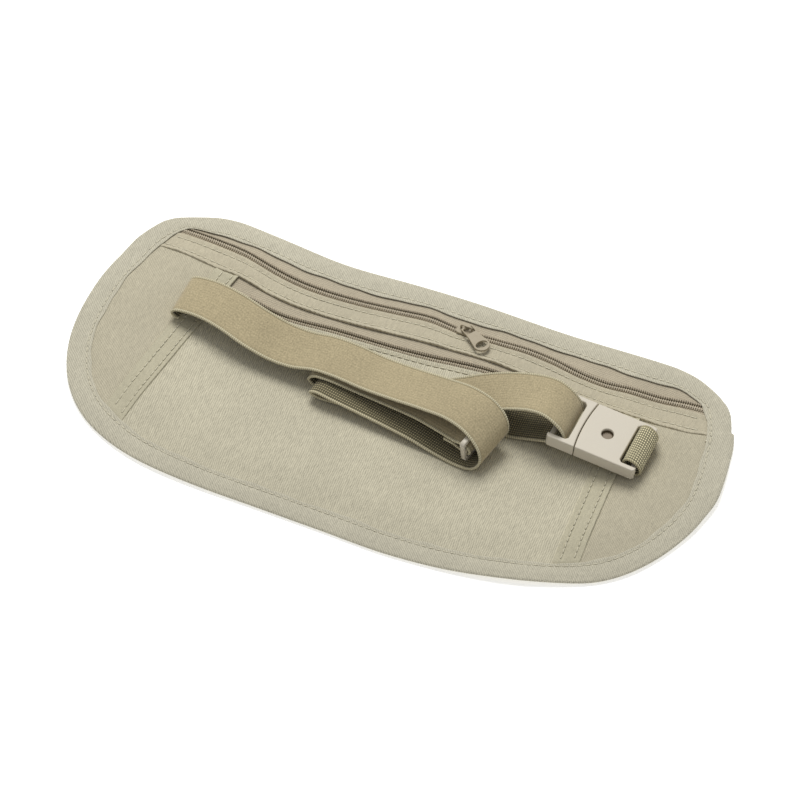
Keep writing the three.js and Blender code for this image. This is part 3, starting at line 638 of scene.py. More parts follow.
def make_mid_strip():
    """The strip of cloth between the zips, folded and stitched along both edges."""
    ys = edge_rows(SEAM_Y, STRIP_EDGE_Y, 0.8)
    x, y = row_grid(ys, lambda v: -half_width(v, 5.5), lambda v: half_width(v, 5.5), 210)
    under_binding = 0.35 * smooth(-4, 1, np.abs(x) - half_width(ys, BINDING_WIDTH)[:, None])
    lower_hem = strip_lip(x) * hem(y - SEAM_Y, x + 9, STRIP_STITCH_AT, 0.42)
    z = STRIP_TOP + 0.07 * ripple(x, y, 0.4) + hem(STRIP_EDGE_Y - y, x) + lower_hem
    return cloth_solid("mid_strip_cloth", relax(points_of(x, y, z - under_binding)), CLOTH_THICK, STRIP)


def tape_profile(w, along, stitches):
    """Height of the slanted seam tape across its width: a raised right edge and two stitched grooves."""
    right, left = TAPE_WIDTH / 2 - w, TAPE_WIDTH / 2 + w
    lips = 0.34 * np.exp(-(right / 1.1) ** 2) + 0.12 * np.exp(-(left / 1.0) ** 2)
    roll = 0.3
    drop = sum(roll * (1 - np.sqrt(np.clip(1 - (np.clip(roll - t, 0, roll) / roll) ** 2, 0, 1)))
               for t in (right, left))
    grooves = sum(np.exp(-((w - row) / 0.5) ** 2) for row in stitches)
    return lips - drop - grooves * (0.16 - pucker(along))


# Where the two rows of stitches run across each seam tape; -1 is the left tape, 1 the right one.
TAPE_STITCHES = {-1: (-1.6, 3.1), 1: (-2.7, 2.5)}
TAPE_HEAD_Y = SEAM_Y + 1.6


def make_seam_tape(name, side):
    """A slanted tape over a side seam; its foot is cut along the binding it goes under."""
    w = np.array((-5.2, -5.12, -4.95, -4.6, -4, -3.4, -3.05, -2.7, -2.35, -2, -1.2, 0, 1, 1.6, 1.9, 2.2,
                  2.5, 2.9, 3.6, 4.2, 4.7, 4.95, 5.12, 5.2))
    ys = np.linspace(-62, TAPE_HEAD_Y, 400)
    feet = np.array([ys[half_width(ys, BINDING_WIDTH - 3) > np.abs(side * tape_x(ys) + v)][0] for v in w])
    y = feet + (TAPE_HEAD_Y - feet) * np.linspace(0, 1, 130)[:, None]
    x = side * tape_x(y) + w
    margin = half_width(y.ravel(), BINDING_WIDTH).reshape(y.shape) - np.abs(x)
    dive = 0.6 * smooth(1.5, -1, margin) + 0.5 * smooth(SEAM_Y - 1.2, SEAM_Y + 0.4, y)
    raised = tape_profile(w[None, :] + 0 * y, y, TAPE_STITCHES[side])
    z = SEAM_TAPE_TOP - 0.1 + 0.05 * ripple(x, y, 0.9) + raised - dive
    return cloth_solid(name, relax(points_of(x, y, z)), 0.4, TAPE)


BINDING_STITCH_AT = 8.6
JOIN_AT, JOIN_RISE = (134.4, 44), 0.42


def narrowing(y):
    """The binding is drawn narrower along the top edge."""
    return 1 - 0.11 * smooth(40, 66, y)


def binding_join(at):
    """1 where the overlapping end of the binding lies on its start, falling off along it."""
    start = OUTLINE_AT[np.argmin(np.hypot(OUTLINE[:, 0] - JOIN_AT[0], OUTLINE[:, 1] - JOIN_AT[1]))]
    past = at - start
    return smooth(-0.9, 0.0, past) * (1 - smooth(28, 45, past))


def binding_profile():
    """Outer contour of the folded tape from its top inner edge round the outside to its bottom inner edge."""
    top = [(inset, BINDING_TOP + rise) for inset, rise in (
        (10.5, -0.32), (10.42, -0.1), (10.2, 0.04), (9.7, 0), (9.3, -0.08), (9.0, -0.2), (8.8, -0.28),
        (8.6, -0.32), (8.4, -0.28), (8.1, -0.17), (7.2, -0.06), (4.6, -0.12), (3.2, -0.32))]
    radius = (BINDING_TOP - 0.95) / 2
    fold = arc(radius + 0.1, radius, radius, 75, 265, 7)
    bottom = [(3, 0), (6, 0), (9, 0.02), (10.3, 0.05), (10.5, 0.2)]
    return np.array(top + fold + bottom)


def make_binding():
    """The folded tape round the whole edge, one closed loop."""
    thick = 0.4
    outer = binding_profile()
    step = np.gradient(outer, axis=0)
    normal = np.stack([-step[:, 1], step[:, 0]], -1) / np.linalg.norm(step, axis=1, keepdims=True)
    inner = (outer - thick * normal)[::-1]
    if inner[:, 1].max() > outer[:, 1].max():
        inner = (outer + thick * normal)[::-1]
    inner[:, 1] = np.clip(inner[:, 1], 0.3, None)
    profile = np.vstack([outer, inner])
    at = OUTLINE_AT[:, None]
    inset, height = profile[None, :, 0], profile[None, :, 1]
    on_top = smooth(1.2, 2.6, height)
    sewn = np.exp(-((inset - BINDING_STITCH_AT) / 1.6) ** 2) * on_top
    edge = smooth(8.5, 10.4, inset) * on_top
    join = binding_join(at)
    round_once = 2 * math.pi * at / (OUTLINE_AT[-1] + OUTLINE_STEP)
    waver = 0.3 * np.sin(19 * round_once) + 0.18 * np.sin(46 * round_once + 1.0)
    inset = inset * narrowing(OUTLINE[:, 1:]) + edge * waver - join * 1.2 * smooth(6, 0, inset)
    height = height + sewn * pucker(at, 0.09) + on_top * (0.05 * np.sin(0.23 * at + inset) + JOIN_RISE * join)
    flat = OUTLINE[:, None, :] + INWARD[:, None, :] * inset[..., None]
    sections = relax(np.concatenate([flat, height[..., None]], -1))
    points, faces = tube_sections(sections, closed=True)
    return mesh_object("edge_binding_tape", points, faces[:, ::-1].tolist(), [BINDING], sharp=70)


# ---- stitches -------------------------------------------------------------------------------

def make_stitches(name, rows):
    """One thread mesh of many stitches. Each row is a line of points on the cloth."""
    radius, swell, part_above = 0.24, 0.2, 0.84
    rings, sides = np.linspace(0, 1, 6), 6
    angle = np.arange(sides) * 2 * math.pi / sides
    sections, along, ends = [], [], []
    for row in rows:
        line, at = resample(np.asarray(row, float), 0.25)
        for start in np.arange(0.4, at[-1] - STITCH_PITCH, STITCH_PITCH):
            s = start + rings * STITCH_PITCH * part_above
            centre = np.stack([np.interp(s, at, line[:, k]) for k in range(3)], -1)
            centre[:, 2] += swell * np.sin(math.pi * rings) ** 0.6
            run = centre[-1] - centre[0]
            side = np.array([-run[1], run[0], 0]) / max(np.hypot(run[0], run[1]), 1e-9)
            lean = 0.14 * math.sin(1.7 * start)
            centre += side * (lean * (rings - 0.5))[:, None]
            width = radius * (0.55 + 0.45 * np.sin(math.pi * rings)) ** 0.5
            ring = side * np.cos(angle)[:, None] + np.array([0, 0, 1]) * np.sin(angle)[:, None]
            sections.append(centre[:, None] + ring[None] * width[:, None, None])
            along.append(np.repeat(s, sides))
            # How near each ring is to a stitch end; the thread shader paints shade there.
            ends.append(np.repeat(np.abs(2 * rings - 1), sides))
    faces, points = [], []
    size = len(rings) * sides
    ring_faces = grid_faces(len(rings), sides, wrap=True)
    for i, section in enumerate(sections):
        points.append(relax(section).reshape(-1, 3))
        faces += (ring_faces + i * size).tolist()
        faces.append([i * size + k for k in range(sides)][::-1])
        faces.append([i * size + size - sides + k for k in range(sides)])
    facts = {"along": np.concatenate(along), "end": np.concatenate(ends)}
    obj = mesh_object(name, np.concatenate(points), faces, [THREAD], facts=facts)
    fix_normals(obj)
    return obj


def fix_normals(obj):
    bm = bmesh.new()
    bm.from_mesh(obj.data)
    bmesh.ops.recalc_face_normals(bm, faces=bm.faces)
    bm.to_mesh(obj.data)
    bm.free()


def binding_row():
    flat = OUTLINE + INWARD * narrowing(OUTLINE[:, 1:]) * BINDING_STITCH_AT
    height = BINDING_TOP - 0.22 + JOIN_RISE * binding_join(OUTLINE_AT)
    row = np.column_stack([flat, height])
    return np.vstack([row, row[:1]])


def strip_rows():
    rows = []
    for y in (STRIP_EDGE_Y - HEM_STITCH_AT, SEAM_Y + STRIP_STITCH_AT):
        reach = half_width(y, BINDING_WIDTH + 0.6)
        x = np.linspace(-reach, reach, 300)
        rows.append(np.column_stack([x, np.full(300, y), np.full(300, STRIP_TOP - 0.1)]))
    return rows


def front_row():
    y = FRONT_TOP_Y - HEM_STITCH_AT
    reach = tape_x(y) - TAPE_WIDTH / 2 - 0.5
    x = np.linspace(-reach, reach, 240)
    return [np.column_stack([x, y + LOWER_LEAN * x, front_z(x, y) - 0.02])]


def tape_rows(side):
    rows = []
    for offset in TAPE_STITCHES[side]:
        ys = np.linspace(SEAM_Y - 0.8, -60, 300)
        xs = side * tape_x(ys) + offset
        inside = np.abs(xs) < half_width(ys, BINDING_WIDTH + 0.5)
        rows.append(np.column_stack([xs, ys, np.full(300, SEAM_TAPE_TOP - 0.12)])[inside])
    return rows


def join_rows():
    """The slanting back-tack over the end of the binding."""
    corners = np.array([(126.8, 36), (124.6, 37.2), (126.9, 38.6), (124.6, 40), (126.6, 41.6), (125, 43)])
    return [np.column_stack([corners, np.full(len(corners), BINDING_TOP + 0.15)])]


# ---- zips -----------------------------------------------------------------------------------

def make_zip_tape(name, centre, low, high, reach, level):
    """One side of a zip tape; low and high are measured from the chain, level caps its height."""
    x = np.linspace(-reach, reach, 200)
    w = np.linspace(low, high, 14)
    grid_x = np.repeat(x[None, :], len(w), 0)
    capped = np.minimum(high, level - centre(x))[None, :]
    grid_w = low + (w[:, None] - low) * (capped - low) / (high - low)
    z = ZIP_TAPE_TOP + 0.03 * ripple(grid_x, grid_w) + 0.1 * np.exp(-((np.abs(grid_w) - 3.1) / 0.5) ** 2)
    end = half_width(centre(grid_x) + grid_w, UNDER_BINDING) - 0.2
    grid_x = np.where(np.abs(grid_x) < end, grid_x, np.sign(grid_x) * end)
    return cloth_solid(name, relax(points_of(grid_x, centre(grid_x) + grid_w, z)), 0.38, ZIP_TAPE)


COIL_PITCH, COIL_WIRE, COIL_OPENING = 0.95, 0.29, 0.12
POINTS_A_TURN = 10


def round_line(line, widths, sides, beside):
    """Sections of a round wire along a line; beside is a direction that the line never takes."""
    run = np.gradient(line, axis=0)
    run /= np.linalg.norm(run, axis=1, keepdims=True)
    first = np.cross(run, beside)
    first /= np.linalg.norm(first, axis=1, keepdims=True)
    second = np.cross(run, first)
    angle = (np.arange(sides) * 2 * math.pi / sides)[None, :, None]
    return line[:, None] + widths * (np.cos(angle) * first[:, None] + np.sin(angle) * second[:, None])


def make_coil(name, centre, reach, side, slider_x):
    """A nylon coil beside the chain's centre, with the sewing thread that runs along its top.
    Left of the slider the two coils stand a little further apart."""
    turns = int(2 * reach / COIL_PITCH)
    theta = np.arange(turns * POINTS_A_TURN + 1) * 2 * math.pi / POINTS_A_TURN
    x = -reach + COIL_PITCH * theta / (2 * math.pi)
    offset = side * (1.17 + COIL_OPENING * smooth(slider_x - 3, slider_x - 13, x))
    phase = 0 if side > 0 else math.pi
    y = centre(x) + offset + 0.88 * np.cos(theta + phase)
    z = 2.8 + 0.36 * np.sin(theta + phase)
    wire = round_line(np.column_stack([x, y, z]), COIL_WIRE, 6, (1.0, 0, 0))
    beads = 0.25 + 0.05 * np.cos(theta[::2])
    thread = round_line(np.column_stack([x, centre(x) + offset, np.full(len(x), 3.3)])[::2],
                        beads[:, None, None], 8, (0, 0, 1.0))
    points, faces = [], []
    for sections in (wire, thread):
        count, sides = sections.shape[:2]
        size = sum(len(p) for p in points)
        ring, quads = tube_sections(relax(sections), closed=False)
        caps = [list(range(sides)), list(range(len(ring) - sides, len(ring)))[::-1]]
        points.append(ring)
        faces += [[size + k for k in face] for face in quads.tolist() + caps]
    obj = mesh_object(name, np.concatenate(points), faces, [COIL])
    fix_normals(obj)
    return obj


def prism(outline, low, high):
    """A closed solid from a polygon in X and Y."""
    bm = bmesh.new()
    face = bm.faces.new([bm.verts.new((x * MM, y * MM, low * MM)) for x, y in outline])
    moved = bmesh.ops.extrude_face_region(bm, geom=[face])["geom"]
    bmesh.ops.translate(bm, verts=[v for v in moved if isinstance(v, bmesh.types.BMVert)],
                        vec=(0, 0, (high - low) * MM))
    bmesh.ops.recalc_face_normals(bm, faces=bm.faces)
    mesh = bpy.data.meshes.new("prism")
    bm.to_mesh(mesh)
    bm.free()
    obj = bpy.data.objects.new("prism", mesh)
    bpy.context.scene.collection.objects.link(obj)
    return obj


def applied(obj):
    """Puts the result of the object's modifiers into its mesh."""
    bpy.context.view_layer.update()
    mesh = bpy.data.meshes.new_from_object(obj.evaluated_get(bpy.context.evaluated_depsgraph_get()))
    obj.modifiers.clear()
    obj.data = mesh


def shaped(base, changes, bevel, material):
    """The base with solids joined (UNION) or cut (DIFFERENCE), and its edges rounded."""
    for operation, tool in changes:
        modifier = base.modifiers.new("carve", "BOOLEAN")
        modifier.operation, modifier.object, modifier.solver = operation, tool, "EXACT"
        applied(base)
        bpy.data.objects.remove(tool)
    bm = bmesh.new()
    bm.from_mesh(base.data)
    bmesh.ops.remove_doubles(bm, verts=bm.verts, dist=2e-6)
    bmesh.ops.dissolve_limit(bm, angle_limit=math.radians(2), verts=bm.verts, edges=bm.edges)
    bm.to_mesh(base.data)
    bm.free()
    modifier = base.modifiers.new("round", "BEVEL")
    modifier.width, modifier.segments, modifier.limit_method = bevel * MM, 3, "ANGLE"
    modifier.angle_limit, modifier.use_clamp_overlap = math.radians(35), True
    applied(base)
    base.data.materials.clear()
    base.data.materials.append(material)
    return base


def make_plate(outline, holes, low, high, bevel, material):
    """A flat plate with rounded edges and holes, from outlines in X and Y."""
    cuts = [("DIFFERENCE", prism(hole, low - 1, high + 1)) for hole in holes]
    return shaped(prism(outline, low, high), cuts, bevel, material)


def joined(name, parts, matrix, smooth_angle=35):
    """The parts as one object, placed by matrix, with edges sharper than the angle kept sharp."""
    bm = bmesh.new()
    for part in parts:
        part.data.transform(part.matrix_world)
        bm.from_mesh(part.data)
    mesh = bpy.data.meshes.new(name)
    bm.to_mesh(mesh)
    bm.free()
    mesh.materials.append(parts[0].data.materials[0])
    for part in parts:
        bpy.data.objects.remove(part)
    mesh.transform(matrix)
    mesh.polygons.foreach_set("use_smooth", [True] * len(mesh.polygons))
    mesh.polygons.foreach_set("material_index", [0] * len(mesh.polygons))
    mesh.set_sharp_from_angle(angle=math.radians(smooth_angle))
    obj = bpy.data.objects.new(name, mesh)
    bpy.context.scene.collection.objects.link(obj)
    obj.modifiers.new("even", "WEIGHTED_NORMAL").keep_sharp = True
    applied(obj)
    return obj


def arc(cx, cy, radius, start, end, count, squeeze=1.0):
    """Points on an arc, with its angles in degrees."""
    angles = np.radians(np.linspace(start, end, count))
    return [(cx + radius * math.cos(a), cy + squeeze * radius * math.sin(a)) for a in angles]


def rectangle(x0, y0, x1, y1):
    return [(x0, y0), (x1, y0), (x1, y1), (x0, y1)]


def rounded(points, radius, count=5):
    """A polygon with each corner rounded by the radius."""
    ring = []
    for i, corner in enumerate(points):
        p, a, b = (np.array(q, float) for q in (corner, points[i - 1], points[(i + 1) % len(points)]))
        to_a, to_b = (a - p) / np.linalg.norm(a - p), (b - p) / np.linalg.norm(b - p)
        for t in np.linspace(0, 1, count):
            start, end = p + to_a * radius, p + to_b * radius
            ring.append(tuple((1 - t)**2 * start + 2 * t * (1 - t) * p + t**2 * end))
    return ring


def make_slider(name, at_x, at_y, lean):
    """The slider's plates, flanges, post and arched bridge."""
    crown = rounded([(-4, -2.2), (-2.9, -3), (1.4, -3), (4, -1.7), (4, 1.7), (1.4, 3), (-2.9, 3), (-4, 2.2)],
                    0.55)
    under_plate = rounded(rectangle(-3.2, -2.2, 3.2, 2.2), 0.8)
    post = rounded(rectangle(-1.6, -0.2, 1.6, 0.2), 0.08)
    flanges = [rounded(rectangle(-3.4, side * 2.55, 1.9, side * 2.98), 0.15) for side in (-1, 1)]
    parts = [make_plate(outline, [], low, high, bevel, ENAMEL) for outline, low, high, bevel in (
        (crown, 3.5, 4.2, 0.22), (flanges[0], 3.22, 3.8, 0.1), (flanges[1], 3.22, 3.8, 0.1),
        (under_plate, 1.5, 2.0, 0.15), (post, 1.8, 3.7, 0.03))]
    foot, rise = 3.9, PIVOT_Z + 1.4
    outer = [(-2.7, foot), (-2.7, rise - 1.3)] + arc(-1.4, rise - 1.3, 1.3, 180, 90, 6) \
        + arc(1.4, rise - 1.3, 1.3, 90, 0, 6) + [(2.7, foot)]
    inner = [(2.05, foot), (2.05, rise - 1.35)] + arc(1.35, rise - 1.35, 0.7, 0, 90, 5) \
        + arc(-1.35, rise - 1.35, 0.7, 90, 180, 5) + [(-2.05, foot)]
    bridge = make_plate(outer + inner, [], -0.5, 0.5, 0.14, ENAMEL)
    bridge.data.transform(Matrix.Rotation(math.pi / 2, 4, "X"))
    parts.append(bridge)
    place = Matrix.Translation(Vector((at_x, at_y, 0)) * MM) @ Matrix.Rotation(math.atan(lean), 4, "Z")
    return joined(name, parts, place)


def make_pull(name, at_x, at_y, yaw):
    """The pull: a slim neck hooked over the bridge, widening to a round end with an oval eye."""
    tip, length, neck, back = 3.4, 14.6, 2.5, 0.4
    window_half, eye_half_long, eye_half_wide, half_thick = 2, 1.7, 2.6, 0.45
    outline = [(-back, -neck), (4.2, -neck), (6, -neck - 0.1), (9.4, -tip + 0.25)] \
        + arc(length - tip, 0, tip, -90, 90, 18) + [(9.4, tip - 0.25), (6, neck + 0.1), (4.2, neck), (-back, neck)]
    window = rounded(rectangle(back, -window_half, 3.6, window_half), 0.35)
    eye = arc(length - tip, 0, eye_half_long, 0, 345, 24, eye_half_wide / eye_half_long)
    plate = make_plate(outline, [window, eye], -half_thick, half_thick, 0.2, ENAMEL)
    place = Matrix.Translation(Vector((at_x, at_y, PIVOT_Z)) * MM) @ Matrix.Rotation(math.radians(yaw), 4, "Z")
    return joined(name, [plate], place)


# ---- straps ---------------------------------------------------------------------------------

def catmull(points, samples, centripetal):
    """Points on a Catmull-Rom curve, with that many samples to a span."""
    p = np.array(points, float)
    p = np.vstack([2 * p[0] - p[1], p, 2 * p[-1] - p[-2]])
    t = np.linspace(0, 1, samples, endpoint=False)[:, None]
    out = []
    for x0, x1, x2, x3 in zip(p, p[1:], p[2:], p[3:]):
        if centripetal:
            d0, d1, d2 = (max(np.linalg.norm(b - a) ** 0.5, 1e-4) for a, b in ((x0, x1), (x1, x2), (x2, x3)))
            t1 = d1 * ((x1 - x0) / d0 - (x2 - x0) / (d0 + d1) + (x2 - x1) / d1)
            t2 = d1 * ((x2 - x1) / d1 - (x3 - x1) / (d1 + d2) + (x3 - x2) / d2)
        else:
            t1, t2 = (x2 - x0) / 2, (x3 - x1) / 2
        out.append(x1 + t1 * t + (3 * (x2 - x1) - 2 * t1 - t2) * t**2 + (2 * (x1 - x2) + t1 + t2) * t**3)
    return np.vstack(out + [p[-2:-1]])


def strap_frames(route, first, last, step):
    """Centres, directions across and up, and distance along, from route point first to last."""
    samples = 40
    path = catmull([r[:3] for r in route], samples, True)[first * samples:last * samples + 1]
    turn = catmull([r[3:5] for r in route], samples, False)[first * samples:last * samples + 1]
    line, at = resample(np.hstack([path, turn]), step)
    centre, heading, tilt = line[:, :3], np.radians(line[:, 3]), np.radians(line[:, 4])
    across = np.stack([-np.sin(heading) * np.cos(tilt), np.cos(heading) * np.cos(tilt), np.sin(tilt)], -1)
    run = np.gradient(centre, axis=0)
    up = np.cross(run, across)
    return centre, across, up / np.linalg.norm(up, axis=1, keepdims=True), at


SELVAGE_PITCH, SELVAGE_AT = 0.95, 9.33


def strap_profile(bead):
    """Points round the strap's section in units of its half width and in millimetres of height,
    with the material of the face after each: 0 outer face, 1 inner face, 2 selvage."""
    face = [-8.65, -8.2, -7, -5, -2.5, 0, 2.5, 5, 7, 8.2, 8.65]
    heights = [0.34, 0.43, 0.47, 0.5, 0.5, 0.5, 0.5, 0.5, 0.47, 0.43, 0.34]
    turn = np.radians(np.linspace(140, -140, 9))
    edge = [(SELVAGE_AT + bead * math.cos(a), bead * math.sin(a)) for a in turn]
    top = [(w, h, 0) for w, h in zip(face, heights)]
    right = [(w, h, 2) for w, h in edge]
    bottom = [(w, -h, 1) for w, h in zip(face[::-1], heights)]
    left = [(-w, h, 2) for w, h in edge[::-1]]
    return np.array(top + right + bottom + left, float)


def make_strap(name, route, width, materials, first=0, last=None, loops=0.06):
    """A woven strap along its route, with beaded selvages that bear small loops."""
    last = len(route) - 1 if last is None else last
    centre, across, up, at = strap_frames(route, first, last, 0.29)
    ring = strap_profile(0.55)
    w, h = ring[:, 0] * width / STRAP_WIDTH, ring[:, 1] * STRAP_THICK
    side = np.where(np.abs(ring[:, 0]) > 9, 1.0, 0.0)
    loop = np.sin(2 * math.pi * at[:, None] / SELVAGE_PITCH)
    out = side * np.sign(ring[:, 0]) * (np.abs(ring[:, 0]) - SELVAGE_AT) * 0.1 * loop
    height = h * (1 + loops * side * loop)
    sections = centre[:, None] + across[:, None] * (w + out)[..., None] + up[:, None] * height[..., None]
    points, faces = tube_sections(sections, closed=False)
    size = len(ring)
    caps = [list(range(size)), list(range(len(points) - size, len(points)))[::-1]]
    slots = np.concatenate([np.tile(ring[:, 2], len(sections) - 1), [2, 2]])
    facts = {"along": np.repeat(at, size), "across": np.tile(ring[:, 0], len(sections))}
    obj = mesh_object(name, points, faces.tolist() + caps, materials, slots, facts, sharp=60)
    fix_normals(obj)
    return obj


def adjuster_axes():
    """The adjuster's own directions: out along the strap, across it, and up."""
    h, t = math.radians(ADJUSTER_HEADING), math.radians(ADJUSTER_TILT)
    out = Vector((math.cos(h), math.sin(h), 0))
    across = Vector((-math.sin(h) * math.cos(t), math.cos(h) * math.cos(t), math.sin(t)))
    return out, across, out.cross(across)


def wrap_route():
    """The sewn end of the strap round the adjuster's middle bar."""
    out, _, up = adjuster_axes()
    corner = WRAP_ROUND * math.sqrt(0.5)
    turns = [(-2.8, 2.3), (0, WRAP_ROUND), (corner, corner), (WRAP_ROUND, 0), (corner, -corner),
             (0, -WRAP_ROUND), (-2.8, -1.6), (-6, -0.5), (-11, -0.5)]
    places = [Vector(ADJUSTER_AT) + out * a + up * b for a, b in turns]
    return [(*p, ADJUSTER_HEADING, ADJUSTER_TILT) for p in places]


def loop_route():
    """The short webbing: out of the right seam tape, up round the buckle's end bar and back."""
    lean = math.degrees(math.atan(TAPE_LEAN))
    turns = [(98.9, 3.8, lean, 0), (103, 3.8, 4, 0), (107, 4.8, BUCKLE_YAW, 3), (109, 7.4, BUCKLE_YAW, 7),
             (108.5, 10.3, BUCKLE_YAW, 8), (106.3, 12.5, BUCKLE_YAW, 8), (103.6, 12.9, BUCKLE_YAW, 6),
             (102, 11.4, BUCKLE_YAW, 4), (101.4, 8.9, BUCKLE_YAW, 3), (101.2, 6.6, BUCKLE_YAW, 1),
             (100.8, 5.4, 4, 0), (98.9, 4.95, lean, 0)]
    return [(x, BUCKLE_AT[1] + 0.6, z, heading, tilt) for x, z, heading, tilt in turns]


# ---- hard parts -----------------------------------------------------------------------------

def make_adjuster():
    """The slide with two slots either side of its middle bar."""
    half, tall, bar = 11.5, 5.6, 1.9
    slot = (2 * tall - 3 * bar) / 2
    outline = rounded(rectangle(-half, -tall, half, tall), 2.2, 8)
    holes = [rounded(rectangle(-half + 1.4, low, half - 1.4, low + slot), 0.6)
             for low in (bar / 2, -bar / 2 - slot)]
    plate = make_plate(outline, holes, -1.1, 1.1, 0.45, ACETAL)
    out, across, up = adjuster_axes()
    place = Matrix((across, up, out)).transposed().to_4x4()
    place.translation = Vector(ADJUSTER_AT) * MM
    return joined("adjuster_slide", [plate], place)


def carved(name, base, changes, bevel, material):
    """A buckle part, made in the buckle's own axes and set in its place."""
    place = Matrix.Translation(Vector(BUCKLE_AT) * MM) @ Matrix.Rotation(math.radians(BUCKLE_YAW), 4, "Z") \
        @ Matrix.Rotation(math.radians(BUCKLE_PITCH), 4, "Y")
    return joined(name, [shaped(base, changes, bevel, material)], place, 40)


HALF_BUCKLE = BUCKLE_WIDTH / 2
INNER_ARM = HALF_BUCKLE - 2.3
SEAM_BOW = 1.1
WALL = 1.4
HOLE_U, HOLE_RADIUS = 9.3, 2.5
SOCKET_END, PLUG_END = 26.4, -12.6
BAR_HALF_LONG, BAR_HALF_THICK = 1.15, 1.4


def shoulder(back):
    """The bowed seam between the halves, from low to high v, set back by that much."""
    vs = np.linspace(-HALF_BUCKLE, HALF_BUCKLE, 15)
    return [(0.1 - back - SEAM_BOW * (1 - (v / HALF_BUCKLE) ** 2), v) for v in vs]


def round_bar(u):
    """The bar across one end of the buckle, with a rounded section."""
    section = rounded(rectangle(-BAR_HALF_LONG, -BAR_HALF_THICK, BAR_HALF_LONG, BAR_HALF_THICK), 0.8)
    bar = prism(section, -INNER_ARM - 0.5, INNER_ARM + 0.5)
    upright = Matrix(((1, 0, 0, 0), (0, 0, 1, 0), (0, 1, 0, 0), (0, 0, 0, 1)))
    bar.data.transform(upright)
    bar.data.flip_normals()
    bar.data.transform(Matrix.Translation(Vector((u, 0, -BUCKLE_THICK / 2)) * MM))
    return bar


def make_female():
    """The socket half: a hollow box with the button hole, two arms and the bar between them."""
    end, corner = SOCKET_END, SOCKET_END - 0.8
    slot = [(end, INNER_ARM), (19.9, INNER_ARM), (18.9, INNER_ARM - 1), (18.9, 1 - INNER_ARM),
            (19.9, -INNER_ARM), (end, -INNER_ARM)]
    outline = shoulder(0)[::-1] + [(corner, -HALF_BUCKLE), (end, -HALF_BUCKLE + 0.8)] + slot[::-1] \
        + [(end, HALF_BUCKLE - 0.8), (corner, HALF_BUCKLE)]
    body = prism(outline, -BUCKLE_THICK, 0)
    socket = prism(rectangle(-3, -HALF_BUCKLE + 2.4, 15.6, HALF_BUCKLE - 2.4), -BUCKLE_THICK + WALL, -WALL)
    hole = prism(arc(HOLE_U, 0, HOLE_RADIUS, 0, 350, 36), -WALL - 0.5, 1)
    changes = [("UNION", round_bar(24.85)), ("DIFFERENCE", socket), ("DIFFERENCE", hole)]
    return carved("buckle_socket_half", body, changes, 0.5, ACETAL)


def make_male():
    """The plug half: a shoulder with two guide rails, two arms and the bar between them."""
    gap, end, corner = 0.35, PLUG_END, PLUG_END + 0.8
    outline = shoulder(gap) + [(corner, HALF_BUCKLE), (end, HALF_BUCKLE - 0.8), (end, INNER_ARM),
                               (-5, INNER_ARM), (-4, INNER_ARM - 1), (-4, 1 - INNER_ARM), (-5, -INNER_ARM),
                               (end, -INNER_ARM), (end, -HALF_BUCKLE + 0.8), (corner, -HALF_BUCKLE)]
    body = prism(outline, -BUCKLE_THICK, 0)
    changes = [("UNION", round_bar(-11.05))]
    for side in (-1, 1):
        rail = [(u, side * v) for u, v in ((-2, 6.6), (12.6, 6.6), (14.2, 7.4), (14.2, 9), (12.4, 10), (-2, 10))]
        changes.append(("UNION", prism(rail, -BUCKLE_THICK + WALL + 0.3, -WALL - 0.3)))
    return carved("buckle_plug_half", body, changes, 0.45, ACETAL)


def make_tongue():
    """The sprung tongue, with a low button under the hole; its dark colour is painted shade for the inside of the
    socket.
    """
    tongue = prism(rectangle(0.2, -5.6, 12, 5.6), -2.8, -1.85)
    button = prism(arc(HOLE_U, 0, 2.05, 0, 350, 36), -2.3, -1.6)
    return carved("release_button_tongue", tongue, [("UNION", button)], 0.18, SHADE_PAINTED_TONGUE_ACETAL)


# ---- everything in place --------------------------------------------------------------------

def place_cloth(obj, replaced):
    if replaced:
        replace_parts(obj, *replaced)
    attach(obj, "pouch")


def flat_area(low, high, left, right):
    ys = np.linspace(low, high, 300)
    return float(np.mean(np.maximum(0, right(ys) - left(ys))) * (high - low))


def place_part(obj, node, body):
    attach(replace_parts(obj, node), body)


def pouch_cloth():
    whole = flat_area(-EDGE_Y + 1, EDGE_Y - 1, lambda v: -half_width(v, 1), lambda v: half_width(v, 1))
    back = make_flat_cloth("back_cloth", 1, 0.95, 0.4, BACKING)
    place_cloth(back, ["back_panel"])
    lining = make_flat_cloth("lining_cloth", 2, 1.35, 0.3, LINING)
    place_cloth(lining, ["divider_panel"])
    front_area = flat_area(FRONT_BOTTOM_Y, FRONT_TOP_Y, lambda v: -front_side(v), front_side)
    place_cloth(make_front_panel(), ["front_panel"])
    wing_area = flat_area(WING_BOTTOM_Y, SEAM_Y + 2, wing_inner, wing_outer)
    sides = (("left", -1), ("right", 1))
    for which, sign in sides:
        place_cloth(make_wing(which + "_wing_cloth", sign), [which + "_wing_panel"])
    place_cloth(make_mid_strip(), ["mid_strip"])
    for which, sign in sides:
        place_cloth(make_seam_tape(which + "_tape_cloth", sign), [which + "_seam_tape"])
    place_cloth(make_binding(), ["edge_binding"])


def pouch_stitches():
    threads = [
        ("binding_stitches", [binding_row()]),
        ("strip_stitches", strip_rows()),
        ("front_hem_stitches", front_row()),
        ("tape_stitches", tape_rows(-1) + tape_rows(1)),
        ("binding_join_stitches", join_rows()),
    ]
    for name, rows in threads:
        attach(make_stitches(name, rows), "pouch")


